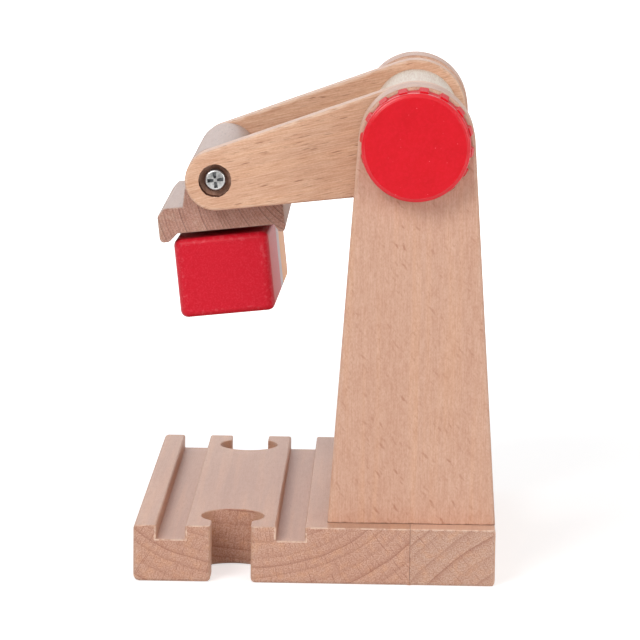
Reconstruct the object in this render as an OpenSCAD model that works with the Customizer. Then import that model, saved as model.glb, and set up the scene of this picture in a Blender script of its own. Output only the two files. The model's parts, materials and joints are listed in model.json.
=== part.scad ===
// Toy railway loading crane: a track board with two wheel grooves carries two panels, and a pair of
// arms turns between them. A carrier with a magnet hangs from the arms and holds a painted block.
//
// Frame: millimetres, Z up, the floor at Z = 0, the middle of the base at X = Y = 0.
// Y runs along the track, and the panels stand on the base's right side, at +X.

/* [Base] */
// Length of the base along the track
base_d = 100; // [80:1:140]
// Thickness of the base boards
base_t = 12; // [10:0.5:16]
// Width of the board that holds the track
track_board_w = 57.6; // [50:0.2:72]
// Width of the board glued on beside it
side_board_w = 17.8; // [12:0.2:26]
// Distance from the left edge to the middle of the track
track_edge = 20.3; // [18:0.1:24]
// Distance between the middles of the two wheel grooves
groove_pitch = 25; // [22:0.5:28]
// Width of a wheel groove
groove_w = 6; // [5:0.5:7]
// Depth of a wheel groove
groove_depth = 3; // [2:0.25:4]

/* [Track socket] */
// Diameter of the round hole that takes a track connector
socket_d = 13.2; // [11:0.1:14.5]
// Distance from the end of the board to the middle of the hole
socket_inset = 10.8; // [8.5:0.1:14]
// Width of the neck that joins the hole to the end
neck_w = 8.4; // [6:0.1:9]

/* [Panels] */
// Thickness of a panel
panel_t = 12; // [9:0.5:15]
// Distance from the end of the base to the outer face of a panel
panel_setback = 5; // [3:0.5:10]
// Width of a panel's foot
panel_foot_w = 34.9; // [28:0.1:40]
// Radius of a panel's round top
panel_top_r = 11.8; // [9:0.1:14]
// Height of the axle above the base
hub_h = 79.8; // [60:0.2:110]
// Distance from the base's right edge to the axle
hub_inset = 17.6; // [14:0.1:22]

/* [Axle and roller] */
// Diameter of the axle
axle_d = 8; // [6:0.5:10]
// Radial clearance between the axle and a panel's bore
axle_clearance = 0.08; // [0.04:0.01:0.1]
// Diameter of the roller between the arms
roller_d = 18.7; // [14:0.1:22]

/* [Arms] */
// Distance from the axle to the carrier's pivot
arm_len = 43.3; // [36:0.1:52]
// Angle of the arms below level, at rest
arm_drop = 13; // [0:1:30]
// Thickness of an arm
arm_t = 6.5; // [5:0.5:9]
// Gap between an arm and its panel
arm_gap = 1; // [0.5:0.1:2]
// Radius of an arm's hub end
arm_hub_r = 11.4; // [9:0.1:13]
// Radius of an arm's pivot end
arm_tip_r = 6.35; // [5.5:0.05:8]
// Diameter of the hole that the pivot screw's head sits in
counterbore_d = 6.9; // [5.5:0.1:8]
// Depth of that hole
counterbore_depth = 3; // [2:0.25:4]

/* [Knobs] */
// Radius over the teeth, at the knob's front
knob_r = 11.3; // [10:0.05:14]
// How much wider the teeth are at the knob's back
knob_draft = 0.5; // [0:0.05:0.6]
// Thickness of the toothed part
knob_t = 3.8; // [3.6:0.1:8]
// Number of teeth
knob_teeth = 16; // [12:1:24]
// Width of a tooth
tooth_w = 2; // [1:0.1:3]
// Depth of the valleys between teeth
tooth_h = 0.65; // [0.4:0.05:1.2]
// Gap between a knob and its panel
knob_gap = 0.4; // [0.2:0.05:1]
// How deep the axle sits in the knob
knob_socket = 2.4; // [1.5:0.1:4]
// Thickness of the wall between the axle's end and the screw head
knob_web = 1; // [0.6:0.1:2]
// Radius of the well that holds the screw head
knob_well_r = 6; // [4.5:0.1:7]
// How much smaller the cap's radius is than the teeth's
cap_inset = 0.1; // [0.1:0.1:2]
// How far the cap sits off the middle, to the right
cap_shift_x = -0.2; // [-0.4:0.05:0.4]
// How far the cap sits off the middle, upwards
cap_shift_z = -0.25; // [-0.4:0.05:0.4]
// How far the cap stands in front of the teeth
cap_t = 1.6; // [1.4:0.1:3]
// Thickness of the cap's face over the screw head
cap_face = 0.8; // [0.5:0.1:1.2]
// Bevel round the cap's face
cap_rim = 0.7; // [0.2:0.1:1]
// Wall of the ring that holds the cap in the knob
cap_ring_wall = 1.2; // [0.8:0.1:2]

/* [Carrier] */
// Gap between the carrier and each arm
carrier_play = 0.3; // [0.2:0.05:0.6]
// Tilt of the carrier at rest, right side up
carrier_tilt = 6.3; // [0:0.1:10]
// Radius of the hump round the pivot
hump_r = 6.4; // [5.5:0.1:7]
// Half the width of the hump where it meets the shoulders
hump_foot = 7.9; // [7.2:0.1:9]
// Depth of the shoulders below the pivot
shoulder_z = 5.65; // [4:0.05:7]
// Width of the carrier
carrier_w = 26.9; // [24:0.1:32]
// Bevel between the shoulders and the sides
shoulder_bevel = 1.6; // [0.5:0.1:2.5]
// Thickness of the carrier below its shoulders
carrier_t = 5.6; // [4.5:0.1:7]
// Depth of the lips below the carrier's underside
lip_h = 1.65; // [0.5:0.05:2.5]
// Width of the left lip at its bottom
left_lip_w = 2; // [1:0.1:2.2]
// Slant of the left lip's inner face
left_lip_slant = 1.9; // [0:0.1:2]
// Width of the right lip at its bottom
right_lip_w = 1.4; // [1:0.1:2.2]
// Slant of the right lip's inner face
right_lip_slant = 1; // [0:0.1:2]

/* [Screws and nail] */
// Shank diameter of the pivot screws
pivot_screw_d = 3; // [2.5:0.1:3.5]
// Radial clearance between a pivot screw and its arm
pivot_clearance = 0.06; // [0.03:0.01:0.1]
// Head diameter of the pivot screws
pivot_head_d = 4.4; // [4:0.1:5.4]
// Length of a pivot screw in the carrier
pivot_grip = 12; // [8:1:18]
// Shank diameter of the panel screws
panel_screw_d = 3.5; // [3:0.1:4]
// Length of a panel screw in the panel
panel_grip = 20; // [12:1:30]
// Shank diameter of the knob screws
knob_screw_d = 2.5; // [2:0.1:3]
// Length of a knob screw in the axle
knob_grip = 10; // [6:1:14]
// Shank diameter of the magnet screw
magnet_screw_d = 2.5; // [2:0.1:3]
// Radial clearance between the magnet and its screw
magnet_clearance = 0.08; // [0.04:0.01:0.1]
// Shank diameter of the plate's nail
nail_d = 1.2; // [1:0.1:1.6]

/* [Magnet and load] */
// Diameter of the magnet
magnet_d = 14; // [10:0.5:16]
// Thickness of the magnet
magnet_t = 3.6; // [3:0.1:5]
// How far the magnet stands out of the carrier's underside
magnet_proud = 1; // [0.5:0.1:1.4]
// Gap round the magnet in its pocket
pocket_gap = 0.2; // [0.1:0.05:0.4]
// Gap between the magnet and the load's plate
hold_gap = 0.05; // [0.03:0.01:0.1]
// Diameter of the steel plate in the load
plate_d = 16; // [12:0.5:17.5]
// Thickness of the steel plate
plate_t = 1; // [0.8:0.1:1.5]
// How far the plate stands out of the load's top
plate_proud = 0.35; // [0.2:0.05:0.6]
// Width of the load
cargo_w = 20.3; // [16:0.1:20.5]
// Gap between the load's ends and the arms
cargo_end_gap = 0.95; // [0.8:0.05:3]
// Turn of the load on the magnet at rest
cargo_yaw = -1.5; // [-4:0.5:4]
// Furthest that the load turns either way on the magnet
cargo_yaw_max = 2.5; // [2:0.5:4]
// How far the load is pulled off the magnet before it lets go
cargo_pull = 2; // [1:0.5:3]
// Gap between the swinging load's corners and the roller
swing_gap = 0.4; // [0.3:0.1:2]
// Radius of the load's upright edges
cargo_edge_r = 2; // [0.5:0.1:3]

/* [Hidden] */
$fn = 96;

// Colours
track_wood = "#d9b48c";
side_wood = "#cfa67c";
panel_wood = "#deb992";
arm_wood = "#d8a87a";
roller_wood = "#d6c3a8";
carrier_wood = "#b98a63";
red_plastic = "#e8322c";
red_paint = "#e0263a";
steel = "#b9bcc0";
magnet_grey = "#6d7075";

// Flats along each round stretch of an outline
arc_steps = 40;
// An extra length that carries a cut clean through a face
cut = 1;
// A hole that a fixed screw passes is wider than the screw by this radius
screw_slack = 0.05;

// Base
base_w = track_board_w + side_board_w;
base_left = -base_w / 2;
glue_x = base_left + track_board_w;
track_x = base_left + track_edge;
socket_y = base_d / 2 - socket_inset;

// Panels and axle
hub_x = base_w / 2 - hub_inset;
hub_z = base_t + hub_h;
foot_right = base_w / 2;
foot_left = foot_right - panel_foot_w;
panel_face_y = base_d / 2 - panel_setback;
axle_r = axle_d / 2;

// Arms, from the middle outwards
arm_outer_y = panel_face_y - panel_t - arm_gap;
arm_inner_y = arm_outer_y - arm_t;
pivot_dx = -arm_len * cos(arm_drop);
pivot_dz = -arm_len * sin(arm_drop);

// Knobs, from the panel outwards
knob_back_y = panel_face_y + knob_gap;
knob_front_y = knob_back_y + knob_t;
axle_end_y = knob_back_y + knob_socket;
web_front_y = axle_end_y + knob_web;
knob_phase = -6.7;

// Carrier, measured down from the pivot
carrier_half = arm_inner_y - carrier_play;
under_z = shoulder_z + carrier_t;
hump_touch = acos(hump_r / norm([hump_foot, shoulder_z])) - atan2(shoulder_z, hump_foot);
lip_bottom_z = under_z + lip_h;
magnet_bottom_z = under_z + magnet_proud;
magnet_top_z = magnet_bottom_z - magnet_t;
magnet_head_h = 1.4;
magnet_head_r = magnet_screw_d;
magnet_grip = 4.4;

// Load, measured down from the pivot
plate_top_z = magnet_bottom_z + hold_gap;
cargo_top_z = plate_top_z + plate_proud;
cargo_l = 2 * (arm_inner_y - cargo_end_gap);
load_half = cargo_w / 2 * cos(cargo_yaw_max) + cargo_l / 2 * sin(cargo_yaw_max);
swing_r = arm_len - roller_d / 2 - swing_gap;
cargo_h = sqrt(swing_r * swing_r - load_half * load_half) - cargo_top_z - cargo_pull;

// Screw heads
counterbore_floor_y = arm_outer_y - counterbore_depth;
head_gap = 0.1;
pivot_head_h = 1.6;
panel_head_r = panel_screw_d;
panel_head_h = 2;
panel_head_sunk = 0.4;
panel_screw_margin = 8.5;
knob_head_h = 1.1;
knob_head_r = knob_screw_d;
nail_len = 9;
nail_head_r = 1.5;
nail_head_h = 0.5;

// ---- Helpers ----

// Extrudes an outline drawn in X and Z along Y, from y0 to y1
module along_y(y0, y1) {
    translate([0, y1, 0])
    rotate([90, 0, 0])
    linear_extrude(y1 - y0)
        children();
}

// A round rod or hole along Y, from y0 to y1
module rod_y(r, y0, y1) {
    along_y(y0, y1)
        circle(r);
}

// Turns a piece for the front end into the same piece at the rear end
module to_rear() {
    mirror([0, 1, 0])
        children();
}

module at_hub() {
    translate([hub_x, 0, hub_z])
        children();
}

module at_pivot() {
    at_hub()
    translate([pivot_dx, 0, pivot_dz])
        children();
}

module at_carrier() {
    at_pivot()
    rotate([0, -carrier_tilt, 0])
        children();
}

function on_circle(centre, r, angle) = centre + r * [cos(angle), sin(angle)];

// Points along a round stretch of an outline
function arc(centre, r, from, to) =
    [for (i = [0 : arc_steps]) on_circle(centre, r, from + (to - from) * i / arc_steps)];

// An outline with two round ends, at a and b, and straight edges that touch both
function tapered_bar(a, b, r_a, r_b) =
    let (heading = atan2(b[1] - a[1], b[0] - a[0]), spread = acos((r_a - r_b) / norm(b - a)))
    concat(arc(a, r_a, heading + spread, heading + 360 - spread),
        arc(b, r_b, heading - spread, heading + spread));

// A cross recess for a screwdriver, cut down from Z = 0
module cross_recess(r, depth) {
    for (turn = [0, 90])
        rotate(turn)
        translate([-r, -r / 6, -depth])
            cube([2 * r, r / 3, depth + cut]);
}

// A pan head screw: the head's seat at Z = 0, the shank below
module pan_screw(shank_r, head_r, head_h, length) {
    dome = head_h * 0.55;
    difference() {
        union() {
            cylinder(h = head_h - dome, r = head_r);
            translate([0, 0, head_h - dome])
                cylinder(h = dome, r1 = head_r, r2 = head_r * 0.62);
            translate([0, 0, -length + shank_r])
                cylinder(h = length - shank_r, r = shank_r);
            translate([0, 0, -length])
                cylinder(h = shank_r, r1 = shank_r * 0.2, r2 = shank_r);
        }
        translate([0, 0, head_h])
            cross_recess(head_r * 0.55, head_h * 0.6);
    }
}

// A countersunk screw: the flat of the head at Z = 0, the shank below
module countersunk_screw(shank_r, head_r, head_h, length) {
    difference() {
        union() {
            translate([0, 0, -head_h])
                cylinder(h = head_h, r1 = shank_r, r2 = head_r);
            translate([0, 0, -length + shank_r])
                cylinder(h = length - shank_r - head_h / 2, r = shank_r);
            translate([0, 0, -length])
                cylinder(h = shank_r, r1 = shank_r * 0.2, r2 = shank_r);
        }
        cross_recess(head_r * 0.55, head_h * 0.7);
    }
}

// The hole that a countersunk screw sits in, with its mouth at Z = 0
module countersunk_hole(shank_r, head_r, head_h, length) {
    translate([0, 0, -head_h - screw_slack])
        cylinder(h = head_h, r1 = shank_r + screw_slack, r2 = head_r + screw_slack);
    translate([0, 0, -screw_slack - cut / 100])
        cylinder(h = cut, r = head_r + screw_slack);
    translate([0, 0, -length])
        cylinder(h = length, r = shank_r + screw_slack);
}

// ---- Base ----

module wheel_grooves() {
    for (side = [-1, 1])
        translate([track_x + side * groove_pitch / 2 - groove_w / 2, -base_d / 2 - cut, base_t - groove_depth])
            cube([groove_w, base_d + 2 * cut, groove_depth + cut]);
}

// The round hole and the neck at the front end
module track_socket() {
    translate([track_x, -socket_y, -cut])
        cylinder(h = base_t + 2 * cut, d = socket_d);
    translate([track_x - neck_w / 2, -base_d / 2 - cut, -cut])
        cube([neck_w, socket_inset + cut, base_t + 2 * cut]);
}

// X of the two screws in each panel's foot
panel_screw_x = [foot_left + panel_screw_margin, foot_right - panel_screw_margin];
panel_mid_y = panel_face_y - panel_t / 2;

module at_panel_screws() {
    for (x = panel_screw_x)
        translate([x, -panel_mid_y, panel_head_sunk])
        mirror([0, 0, 1])
            children();
}

module panel_screw_holes() {
    at_panel_screws() {
        countersunk_hole(panel_screw_d / 2, panel_head_r, panel_head_h, base_t + cut);
        cylinder(h = panel_head_sunk + cut, r = panel_head_r + screw_slack);
    }
}

module base_cuts() {
    panel_screw_holes();
    to_rear()
        panel_screw_holes();
}

module track_board() {
    color(track_wood)
    difference() {
        translate([base_left, -base_d / 2, 0])
            cube([track_board_w, base_d, base_t]);
        wheel_grooves();
        track_socket();
        to_rear()
            track_socket();
        base_cuts();
    }
}

module side_board() {
    color(side_wood)
    difference() {
        translate([glue_x, -base_d / 2, 0])
            cube([side_board_w, base_d, base_t]);
        base_cuts();
    }
}

// ---- Panels ----

// A corner of the foot, seen from the hub
function foot_corner(x) = [x - hub_x, -hub_h];

// Direction of the point where the straight edge from a foot corner touches the round top
function top_tangent(foot, side) = atan2(foot[1], foot[0]) + side * acos(panel_top_r / norm(foot));

function panel_outline() =
    let (left = foot_corner(foot_left), right = foot_corner(foot_right))
    concat([left, right], arc([0, 0], panel_top_r, top_tangent(right, 1), top_tangent(left, -1) + 360));

module panel_screws() {
    at_panel_screws()
        countersunk_screw(panel_screw_d / 2, panel_head_r, panel_head_h,
            base_t - panel_head_sunk + panel_grip);
}

module panel() {
    difference() {
        at_hub()
        difference() {
            along_y(-panel_face_y, -panel_face_y + panel_t)
                polygon(panel_outline());
            rod_y(axle_r + axle_clearance, -panel_face_y - cut, -panel_face_y + panel_t + cut);
        }
        at_panel_screws()
            mirror([0, 0, 1])
            cylinder(h = base_t + panel_grip - panel_head_sunk, r = panel_screw_d / 2 + screw_slack);
    }
}

module front_panel() {
    color(panel_wood)
        panel();
}

module rear_panel() {
    color(panel_wood)
    to_rear()
        panel();
}

module front_panel_screws() {
    color(steel)
        panel_screws();
}

module rear_panel_screws() {
    color(steel)
    to_rear()
        panel_screws();
}

// ---- Axle, roller and arms ----

module drive_axle() {
    color(roller_wood)
    at_hub()
    difference() {
        rod_y(axle_r, -axle_end_y, axle_end_y);
        knob_screw_hole();
        to_rear()
            knob_screw_hole();
    }
}

module knob_screw_hole() {
    rod_y(knob_screw_d / 2 + screw_slack, -web_front_y - cut, -axle_end_y + knob_grip);
}

module hub_roller() {
    color(roller_wood)
    at_hub()
    difference() {
        rod_y(roller_d / 2, -arm_inner_y, arm_inner_y);
        rod_y(axle_r, -arm_inner_y - cut, arm_inner_y + cut);
    }
}

module arm() {
    at_hub()
    difference() {
        along_y(-arm_outer_y, -arm_inner_y)
            polygon(tapered_bar([0, 0], [pivot_dx, pivot_dz], arm_hub_r, arm_tip_r));
        rod_y(axle_r, -arm_outer_y - cut, -arm_inner_y + cut);
        translate([pivot_dx, 0, pivot_dz]) {
            rod_y(pivot_screw_d / 2 + pivot_clearance, -arm_outer_y - cut, -arm_inner_y + cut);
            rod_y(counterbore_d / 2, -arm_outer_y - cut, -counterbore_floor_y);
        }
    }
}

module front_arm() {
    color(arm_wood)
        arm();
}

module rear_arm() {
    color(arm_wood)
    to_rear()
        arm();
}

// ---- Knobs ----

module tooth_outline() {
    for (i = [0 : knob_teeth - 1])
        rotate(90 + knob_phase + i * 360 / knob_teeth)
        translate([0, -tooth_w / 2])
            square([knob_r + knob_draft + cut, tooth_w]);
}

// The toothed wheel with its back at Z = 0
module knob_wheel() {
    valley_r = knob_r - tooth_h;
    difference() {
        union() {
            cylinder(h = knob_t, r1 = valley_r + knob_draft, r2 = valley_r);
            intersection() {
                cylinder(h = knob_t, r1 = knob_r + knob_draft, r2 = knob_r);
                linear_extrude(knob_t)
                    tooth_outline();
            }
        }
        translate([0, 0, -cut])
            cylinder(h = knob_socket + cut, r = axle_r);
        cylinder(h = knob_t, r = knob_screw_d / 2 + screw_slack);
        translate([0, 0, knob_socket + knob_web])
            cylinder(h = knob_t, r = knob_well_r);
    }
}

module knob_screw() {
    pan_screw(knob_screw_d / 2, knob_head_r, knob_head_h, knob_web + knob_grip);
}

module knob_cap() {
    cap_r = knob_r - cap_inset;
    ring_l = knob_t - knob_socket - knob_web;
    difference() {
        union() {
            translate([0, 0, -ring_l])
                cylinder(h = ring_l + cap_t / 2, r = knob_well_r);
            translate([cap_shift_x, cap_shift_z, 0])
                rotate_extrude()
                    polygon([[0, 0], [cap_r, 0], [cap_r, cap_t - cap_rim], [cap_r - cap_rim, cap_t], [0, cap_t]]);
        }
        translate([0, 0, -ring_l - cut])
            cylinder(h = ring_l + cut + cap_t - cap_face, r = knob_well_r - cap_ring_wall);
    }
}

// Stands a piece drawn up +Z on the front side, with its foot at distance y from the middle
module on_front(y) {
    at_hub()
    translate([0, -y, 0])
    rotate([90, 0, 0])
        children();
}

module front_knob() {
    color(red_plastic)
    on_front(knob_back_y)
        knob_wheel();
}

module rear_knob() {
    color(red_plastic)
    to_rear()
    on_front(knob_back_y)
        knob_wheel();
}

module front_knob_screw() {
    color(steel)
    on_front(web_front_y)
        knob_screw();
}

module rear_knob_screw() {
    color(steel)
    to_rear()
    on_front(web_front_y)
        knob_screw();
}

module front_knob_cap() {
    color(red_plastic)
    on_front(knob_front_y)
        knob_cap();
}

module rear_knob_cap() {
    color(red_plastic)
    to_rear()
    on_front(knob_front_y)
        knob_cap();
}

// ---- Carrier ----

// One side of the carrier's outline below the hump, from the shoulder to the underside
function carrier_side(s, lip_w, lip_slant) = [
    [s * hump_foot, -shoulder_z],
    [s * (carrier_w / 2 - shoulder_bevel), -shoulder_z],
    [s * carrier_w / 2, -shoulder_z - shoulder_bevel],
    [s * carrier_w / 2, -lip_bottom_z],
    [s * (carrier_w / 2 - lip_w), -lip_bottom_z],
    [s * (carrier_w / 2 - lip_w - lip_slant), -under_z]];

function reversed(list) = [for (i = [len(list) - 1 : -1 : 0]) list[i]];

module carrier() {
    color(carrier_wood)
    at_carrier()
    difference() {
        along_y(-carrier_half, carrier_half)
            polygon(concat(arc([0, 0], hump_r, hump_touch, 180 - hump_touch),
                carrier_side(-1, left_lip_w, left_lip_slant),
                reversed(carrier_side(1, right_lip_w, right_lip_slant))));
        rod_y(pivot_screw_d / 2, -carrier_half - cut, -carrier_half + pivot_grip);
        rod_y(pivot_screw_d / 2, carrier_half - pivot_grip, carrier_half + cut);
        translate([0, 0, -under_z - cut])
            cylinder(h = magnet_t - magnet_proud + pocket_gap + cut, r = magnet_d / 2 + pocket_gap);
        translate([0, 0, -under_z])
            cylinder(h = under_z - magnet_top_z + magnet_grip, r = magnet_screw_d / 2 + screw_slack);
    }
}

// Turns a screw drawn up Z to the pivot, with its seat at distance y in front of the middle
module pivot_screw() {
    seat_y = counterbore_floor_y + head_gap;
    at_carrier()
    translate([0, -seat_y, 0])
    rotate([90, 0, 0])
        pan_screw(pivot_screw_d / 2, pivot_head_d / 2, pivot_head_h,
            seat_y - carrier_half + pivot_grip);
}

module front_carrier_screw() {
    color(steel)
        pivot_screw();
}

module rear_carrier_screw() {
    color(steel)
    to_rear()
        pivot_screw();
}

// ---- Magnet and load ----

module lifting_magnet() {
    color(magnet_grey)
    at_carrier()
    translate([0, 0, -magnet_bottom_z])
    difference() {
        cylinder(h = magnet_t, d = magnet_d);
        translate([0, 0, -cut])
            cylinder(h = magnet_t + 2 * cut, r = magnet_screw_d / 2 + magnet_clearance);
        magnet_head_seat();
    }
}

// The cone that the screw's head sits in, with room for the magnet to turn round it
module magnet_head_seat() {
    cylinder(h = magnet_head_h + magnet_clearance, r1 = magnet_head_r + 2 * magnet_clearance,
        r2 = magnet_screw_d / 2 + magnet_clearance);
    translate([0, 0, -cut])
        cylinder(h = cut, r = magnet_head_r + 2 * magnet_clearance);
}

module magnet_screw() {
    color(steel)
    at_carrier()
    translate([0, 0, -magnet_bottom_z + head_gap])
    mirror([0, 0, 1])
        countersunk_screw(magnet_screw_d / 2, magnet_head_r, magnet_head_h,
            magnet_t - head_gap + magnet_grip);
}

module at_load() {
    at_carrier()
    rotate([0, 0, cargo_yaw])
        children();
}

module cargo_outline() {
    x = cargo_w / 2 - cargo_edge_r;
    y = cargo_l / 2 - cargo_edge_r;
    for (i = [-1, 1], j = [-1, 1])
        translate([i * x, j * y])
            circle(cargo_edge_r);
    square([cargo_w, 2 * y], center = true);
    square([2 * x, cargo_l], center = true);
}

module cargo_block() {
    color(red_paint)
    at_load()
    translate([0, 0, -cargo_top_z])
    difference() {
        translate([0, 0, -cargo_h])
        linear_extrude(cargo_h)
            cargo_outline();
        translate([0, 0, plate_proud - plate_t])
            cylinder(h = plate_t, d = plate_d);
        translate([0, 0, -nail_len])
            cylinder(h = nail_len, d = nail_d);
    }
}

module cargo_plate() {
    color(steel)
    at_load()
    translate([0, 0, -plate_top_z])
    difference() {
        translate([0, 0, -plate_t])
            cylinder(h = plate_t, d = plate_d);
        translate([0, 0, -plate_t - cut])
            cylinder(h = plate_t + 2 * cut, d = nail_d);
        translate([0, 0, -nail_head_h])
            cylinder(h = nail_head_h + cut, r = nail_head_r);
    }
}

module cargo_plate_nail() {
    color(steel)
    at_load()
    translate([0, 0, -plate_top_z]) {
        translate([0, 0, -nail_head_h])
            cylinder(h = nail_head_h, r = nail_head_r);
        translate([0, 0, plate_proud - nail_len])
            cylinder(h = nail_len - plate_proud - nail_head_h / 2, d = nail_d);
    }
}

track_board();
side_board();
front_panel();
rear_panel();
front_panel_screws();
rear_panel_screws();
drive_axle();
hub_roller();
front_arm();
rear_arm();
front_knob();
rear_knob();
front_knob_screw();
rear_knob_screw();
front_knob_cap();
rear_knob_cap();
carrier();
front_carrier_screw();
rear_carrier_screw();
lifting_magnet();
magnet_screw();
cargo_block();
cargo_plate();
cargo_plate_nail();
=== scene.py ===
# %% [markdown]
# # A toy railway loading crane in wood, plastic and steel
#
# The crane is a beech toy. A grooved board holds two tapered uprights, and a pair of arms turns on an
# axle between them, worked by red plastic knobs. The arms carry a wooden bar with a magnet under it,
# and a painted block hangs on the magnet. This lesson builds each visible piece at its real size,
# rounds its edges the way sanding does, and gives each a material worked out from nodes.
#
# The sizes come from the frame: each construction node's box, and the places of the joints. Reading
# them there, and not typing them again, means that a piece can't drift away from the part it stands for.

# %% Load the frame
import json
import math

import bmesh
import bpy
from mathutils import Euler, Matrix, Vector

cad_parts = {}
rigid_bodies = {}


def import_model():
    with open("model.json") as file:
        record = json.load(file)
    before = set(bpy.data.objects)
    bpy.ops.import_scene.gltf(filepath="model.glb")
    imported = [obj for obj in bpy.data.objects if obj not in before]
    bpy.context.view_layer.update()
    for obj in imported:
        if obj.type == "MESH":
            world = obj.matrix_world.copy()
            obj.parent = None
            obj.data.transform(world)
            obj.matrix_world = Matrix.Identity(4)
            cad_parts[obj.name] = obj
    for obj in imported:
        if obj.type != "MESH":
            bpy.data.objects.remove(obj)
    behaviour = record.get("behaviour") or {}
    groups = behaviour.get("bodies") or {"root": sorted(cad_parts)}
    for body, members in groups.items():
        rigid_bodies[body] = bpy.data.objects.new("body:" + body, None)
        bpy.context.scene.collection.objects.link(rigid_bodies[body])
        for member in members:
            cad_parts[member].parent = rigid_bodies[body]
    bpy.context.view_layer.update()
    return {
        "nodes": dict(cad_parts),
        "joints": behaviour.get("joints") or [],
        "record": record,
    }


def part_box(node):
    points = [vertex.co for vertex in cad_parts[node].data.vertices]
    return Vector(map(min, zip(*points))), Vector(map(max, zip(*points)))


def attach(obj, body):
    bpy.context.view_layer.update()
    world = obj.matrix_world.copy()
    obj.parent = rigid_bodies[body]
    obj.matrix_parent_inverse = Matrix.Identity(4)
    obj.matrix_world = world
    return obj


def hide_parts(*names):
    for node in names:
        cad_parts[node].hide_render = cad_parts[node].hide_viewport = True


for thing in list(bpy.data.objects):
    bpy.data.objects.remove(thing)
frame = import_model()
mm = 0.001
UP = Vector((0, 0, 1))
Y_AXIS = Vector((0, 1, 0))
joints = {joint["name"]: joint for joint in frame["joints"]}
hub = Vector(joints["arm_turn"]["pos_m"])
pivot = Vector(joints["carrier_swing"]["pos_m"])
down = Vector(joints["cargo_pull"]["axis"]).normalized()
tilt = math.asin(down.x)
print(f"hub {hub}, pivot {pivot}, the carrier leans {math.degrees(tilt):.1f} degrees")

# %% [markdown]
# ## The camera
#
# A long lens flattens a small object, so that upright edges stay nearly parallel. The camera stands
# three quarters of a metre in front, a hand's breadth above the axle, and looks slightly down. It is
# placed with three turns, heading, pitch and roll, because a camera aimed at a target can't hold the
# small roll that a hand-set tripod has.

# %% Camera
CAMERA_PLACE = Vector((16.35, -769.99, 169.99)) * mm
CAMERA_HEADING = math.radians(-1.27)
CAMERA_PITCH = math.radians(9.06)
CAMERA_ROLL = math.radians(0.66)
CAMERA_LENS_MM = 199.3
CAMERA_SHIFT = (0.0024, 0.0041)


def add_camera():
    data = bpy.data.cameras.new("camera")
    data.lens = CAMERA_LENS_MM
    data.shift_x, data.shift_y = CAMERA_SHIFT
    data.clip_start = 0.01
    data.clip_end = 50
    camera = bpy.data.objects.new("camera", data)
    camera.matrix_world = (
        Matrix.Translation(CAMERA_PLACE)
        @ Matrix.Rotation(-CAMERA_HEADING, 4, "Z")
        @ Matrix.Rotation(math.pi / 2 - CAMERA_PITCH, 4, "X")
        @ Matrix.Rotation(CAMERA_ROLL, 4, "Z")
    )
    bpy.context.scene.collection.objects.link(camera)
    bpy.context.scene.camera = camera
    print(f"camera: a {CAMERA_LENS_MM} mm lens, at {[round(value / mm) for value in CAMERA_PLACE]} mm")


add_camera()

# %% [markdown]
# ## Lamps
#
# A product table is lit by big soft lamps: one at the front left, a weaker one at the right to open
# the shadows, and a low one behind that skims the top faces and gives them their pale sheen. Small
# lamps would draw hard shadows, and one lamp overhead would leave the fronts of the boards dull.

# %% Lamps
LOOK_AT = Vector((0, 0, 55)) * mm
# Places and sizes in millimetres.
LAMPS = {
    "key_lamp": {"place": (-500, -820, 700), "size": 560, "watts": 5.9, "colour": (1, 1, 1)},
    "fill_lamp": {"place": (640, -700, 240), "size": 460, "watts": 2.0, "colour": (1, 1, 1)},
    "skim_lamp": {"place": (-100, 900, 330), "size": 500, "watts": 0.8, "colour": (0.92, 0.94, 1)},
}


def add_lamp(name, place, size, watts, colour):
    data = bpy.data.lights.new(name, "AREA")
    data.shape = "DISK"
    data.size = size * mm
    data.energy = watts
    data.color = colour
    lamp = bpy.data.objects.new(name, data)
    lamp.location = Vector(place) * mm
    lamp.rotation_mode = "QUATERNION"
    lamp.rotation_quaternion = (LOOK_AT - lamp.location).to_track_quat("-Z", "Y")
    lamp.visible_camera = False
    bpy.context.scene.collection.objects.link(lamp)
    print(f"{name}: {(LOOK_AT - lamp.location).length / mm:.0f} mm away")


for lamp_name, lamp_facts in LAMPS.items():
    add_lamp(lamp_name, **lamp_facts)

# %% [markdown]
# ## World and floor
#
# The toy stands on a white table in a white room. The room could be built from big white cards, but
# their light would wash out the wood. Here the world's own strength depends on which ray asks: light
# that falls on the crane gets an even, modest fill, the camera gets plain white, and glossy rays get
# white behind and overhead and a dim room in front. The floor does the same, and keeps its shadow.
# That is why the flat knob keeps its full red, while edges that turn away pick up a bright line.

# %% Node helpers
def feed(node, inputs):
    """Fills inputs of a node: a socket of another node is linked, and a number or colour is set."""
    for key, value in inputs.items():
        if isinstance(value, bpy.types.NodeSocket):
            node.id_data.links.new(value, node.inputs[key])
        else:
            node.inputs[key].default_value = value


def node_chain(tree):
    """Two small helpers for a node tree: one adds a node and feeds its inputs, one does arithmetic."""

    def add(kind, inputs=None, **settings):
        node = tree.nodes.new(kind)
        for key, value in settings.items():
            setattr(node, key, value)
        feed(node, inputs or {})
        return node

    def calc(operation, *values):
        return add("ShaderNodeMath", dict(enumerate(values)), operation=operation).outputs[0]

    return add, calc


def smooth_step(add, value, low, high, to_low=0.0, to_high=1.0):
    """Leads the value from to_low, where it is low, to to_high, where it is high, with soft ends."""
    return add("ShaderNodeMapRange", {"Value": value, "From Min": low, "From Max": high,
                                      "To Min": to_low, "To Max": to_high},
               interpolation_type="SMOOTHSTEP").outputs[0]


def seen_directly(add, calc):
    """Two outputs: 1 for rays from the camera, and 1 for rays off gloss or through glass."""
    path = add("ShaderNodeLightPath")
    reflected = calc("MAXIMUM", path.outputs["Is Glossy Ray"], path.outputs["Is Transmission Ray"])
    return path.outputs["Is Camera Ray"], reflected


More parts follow.
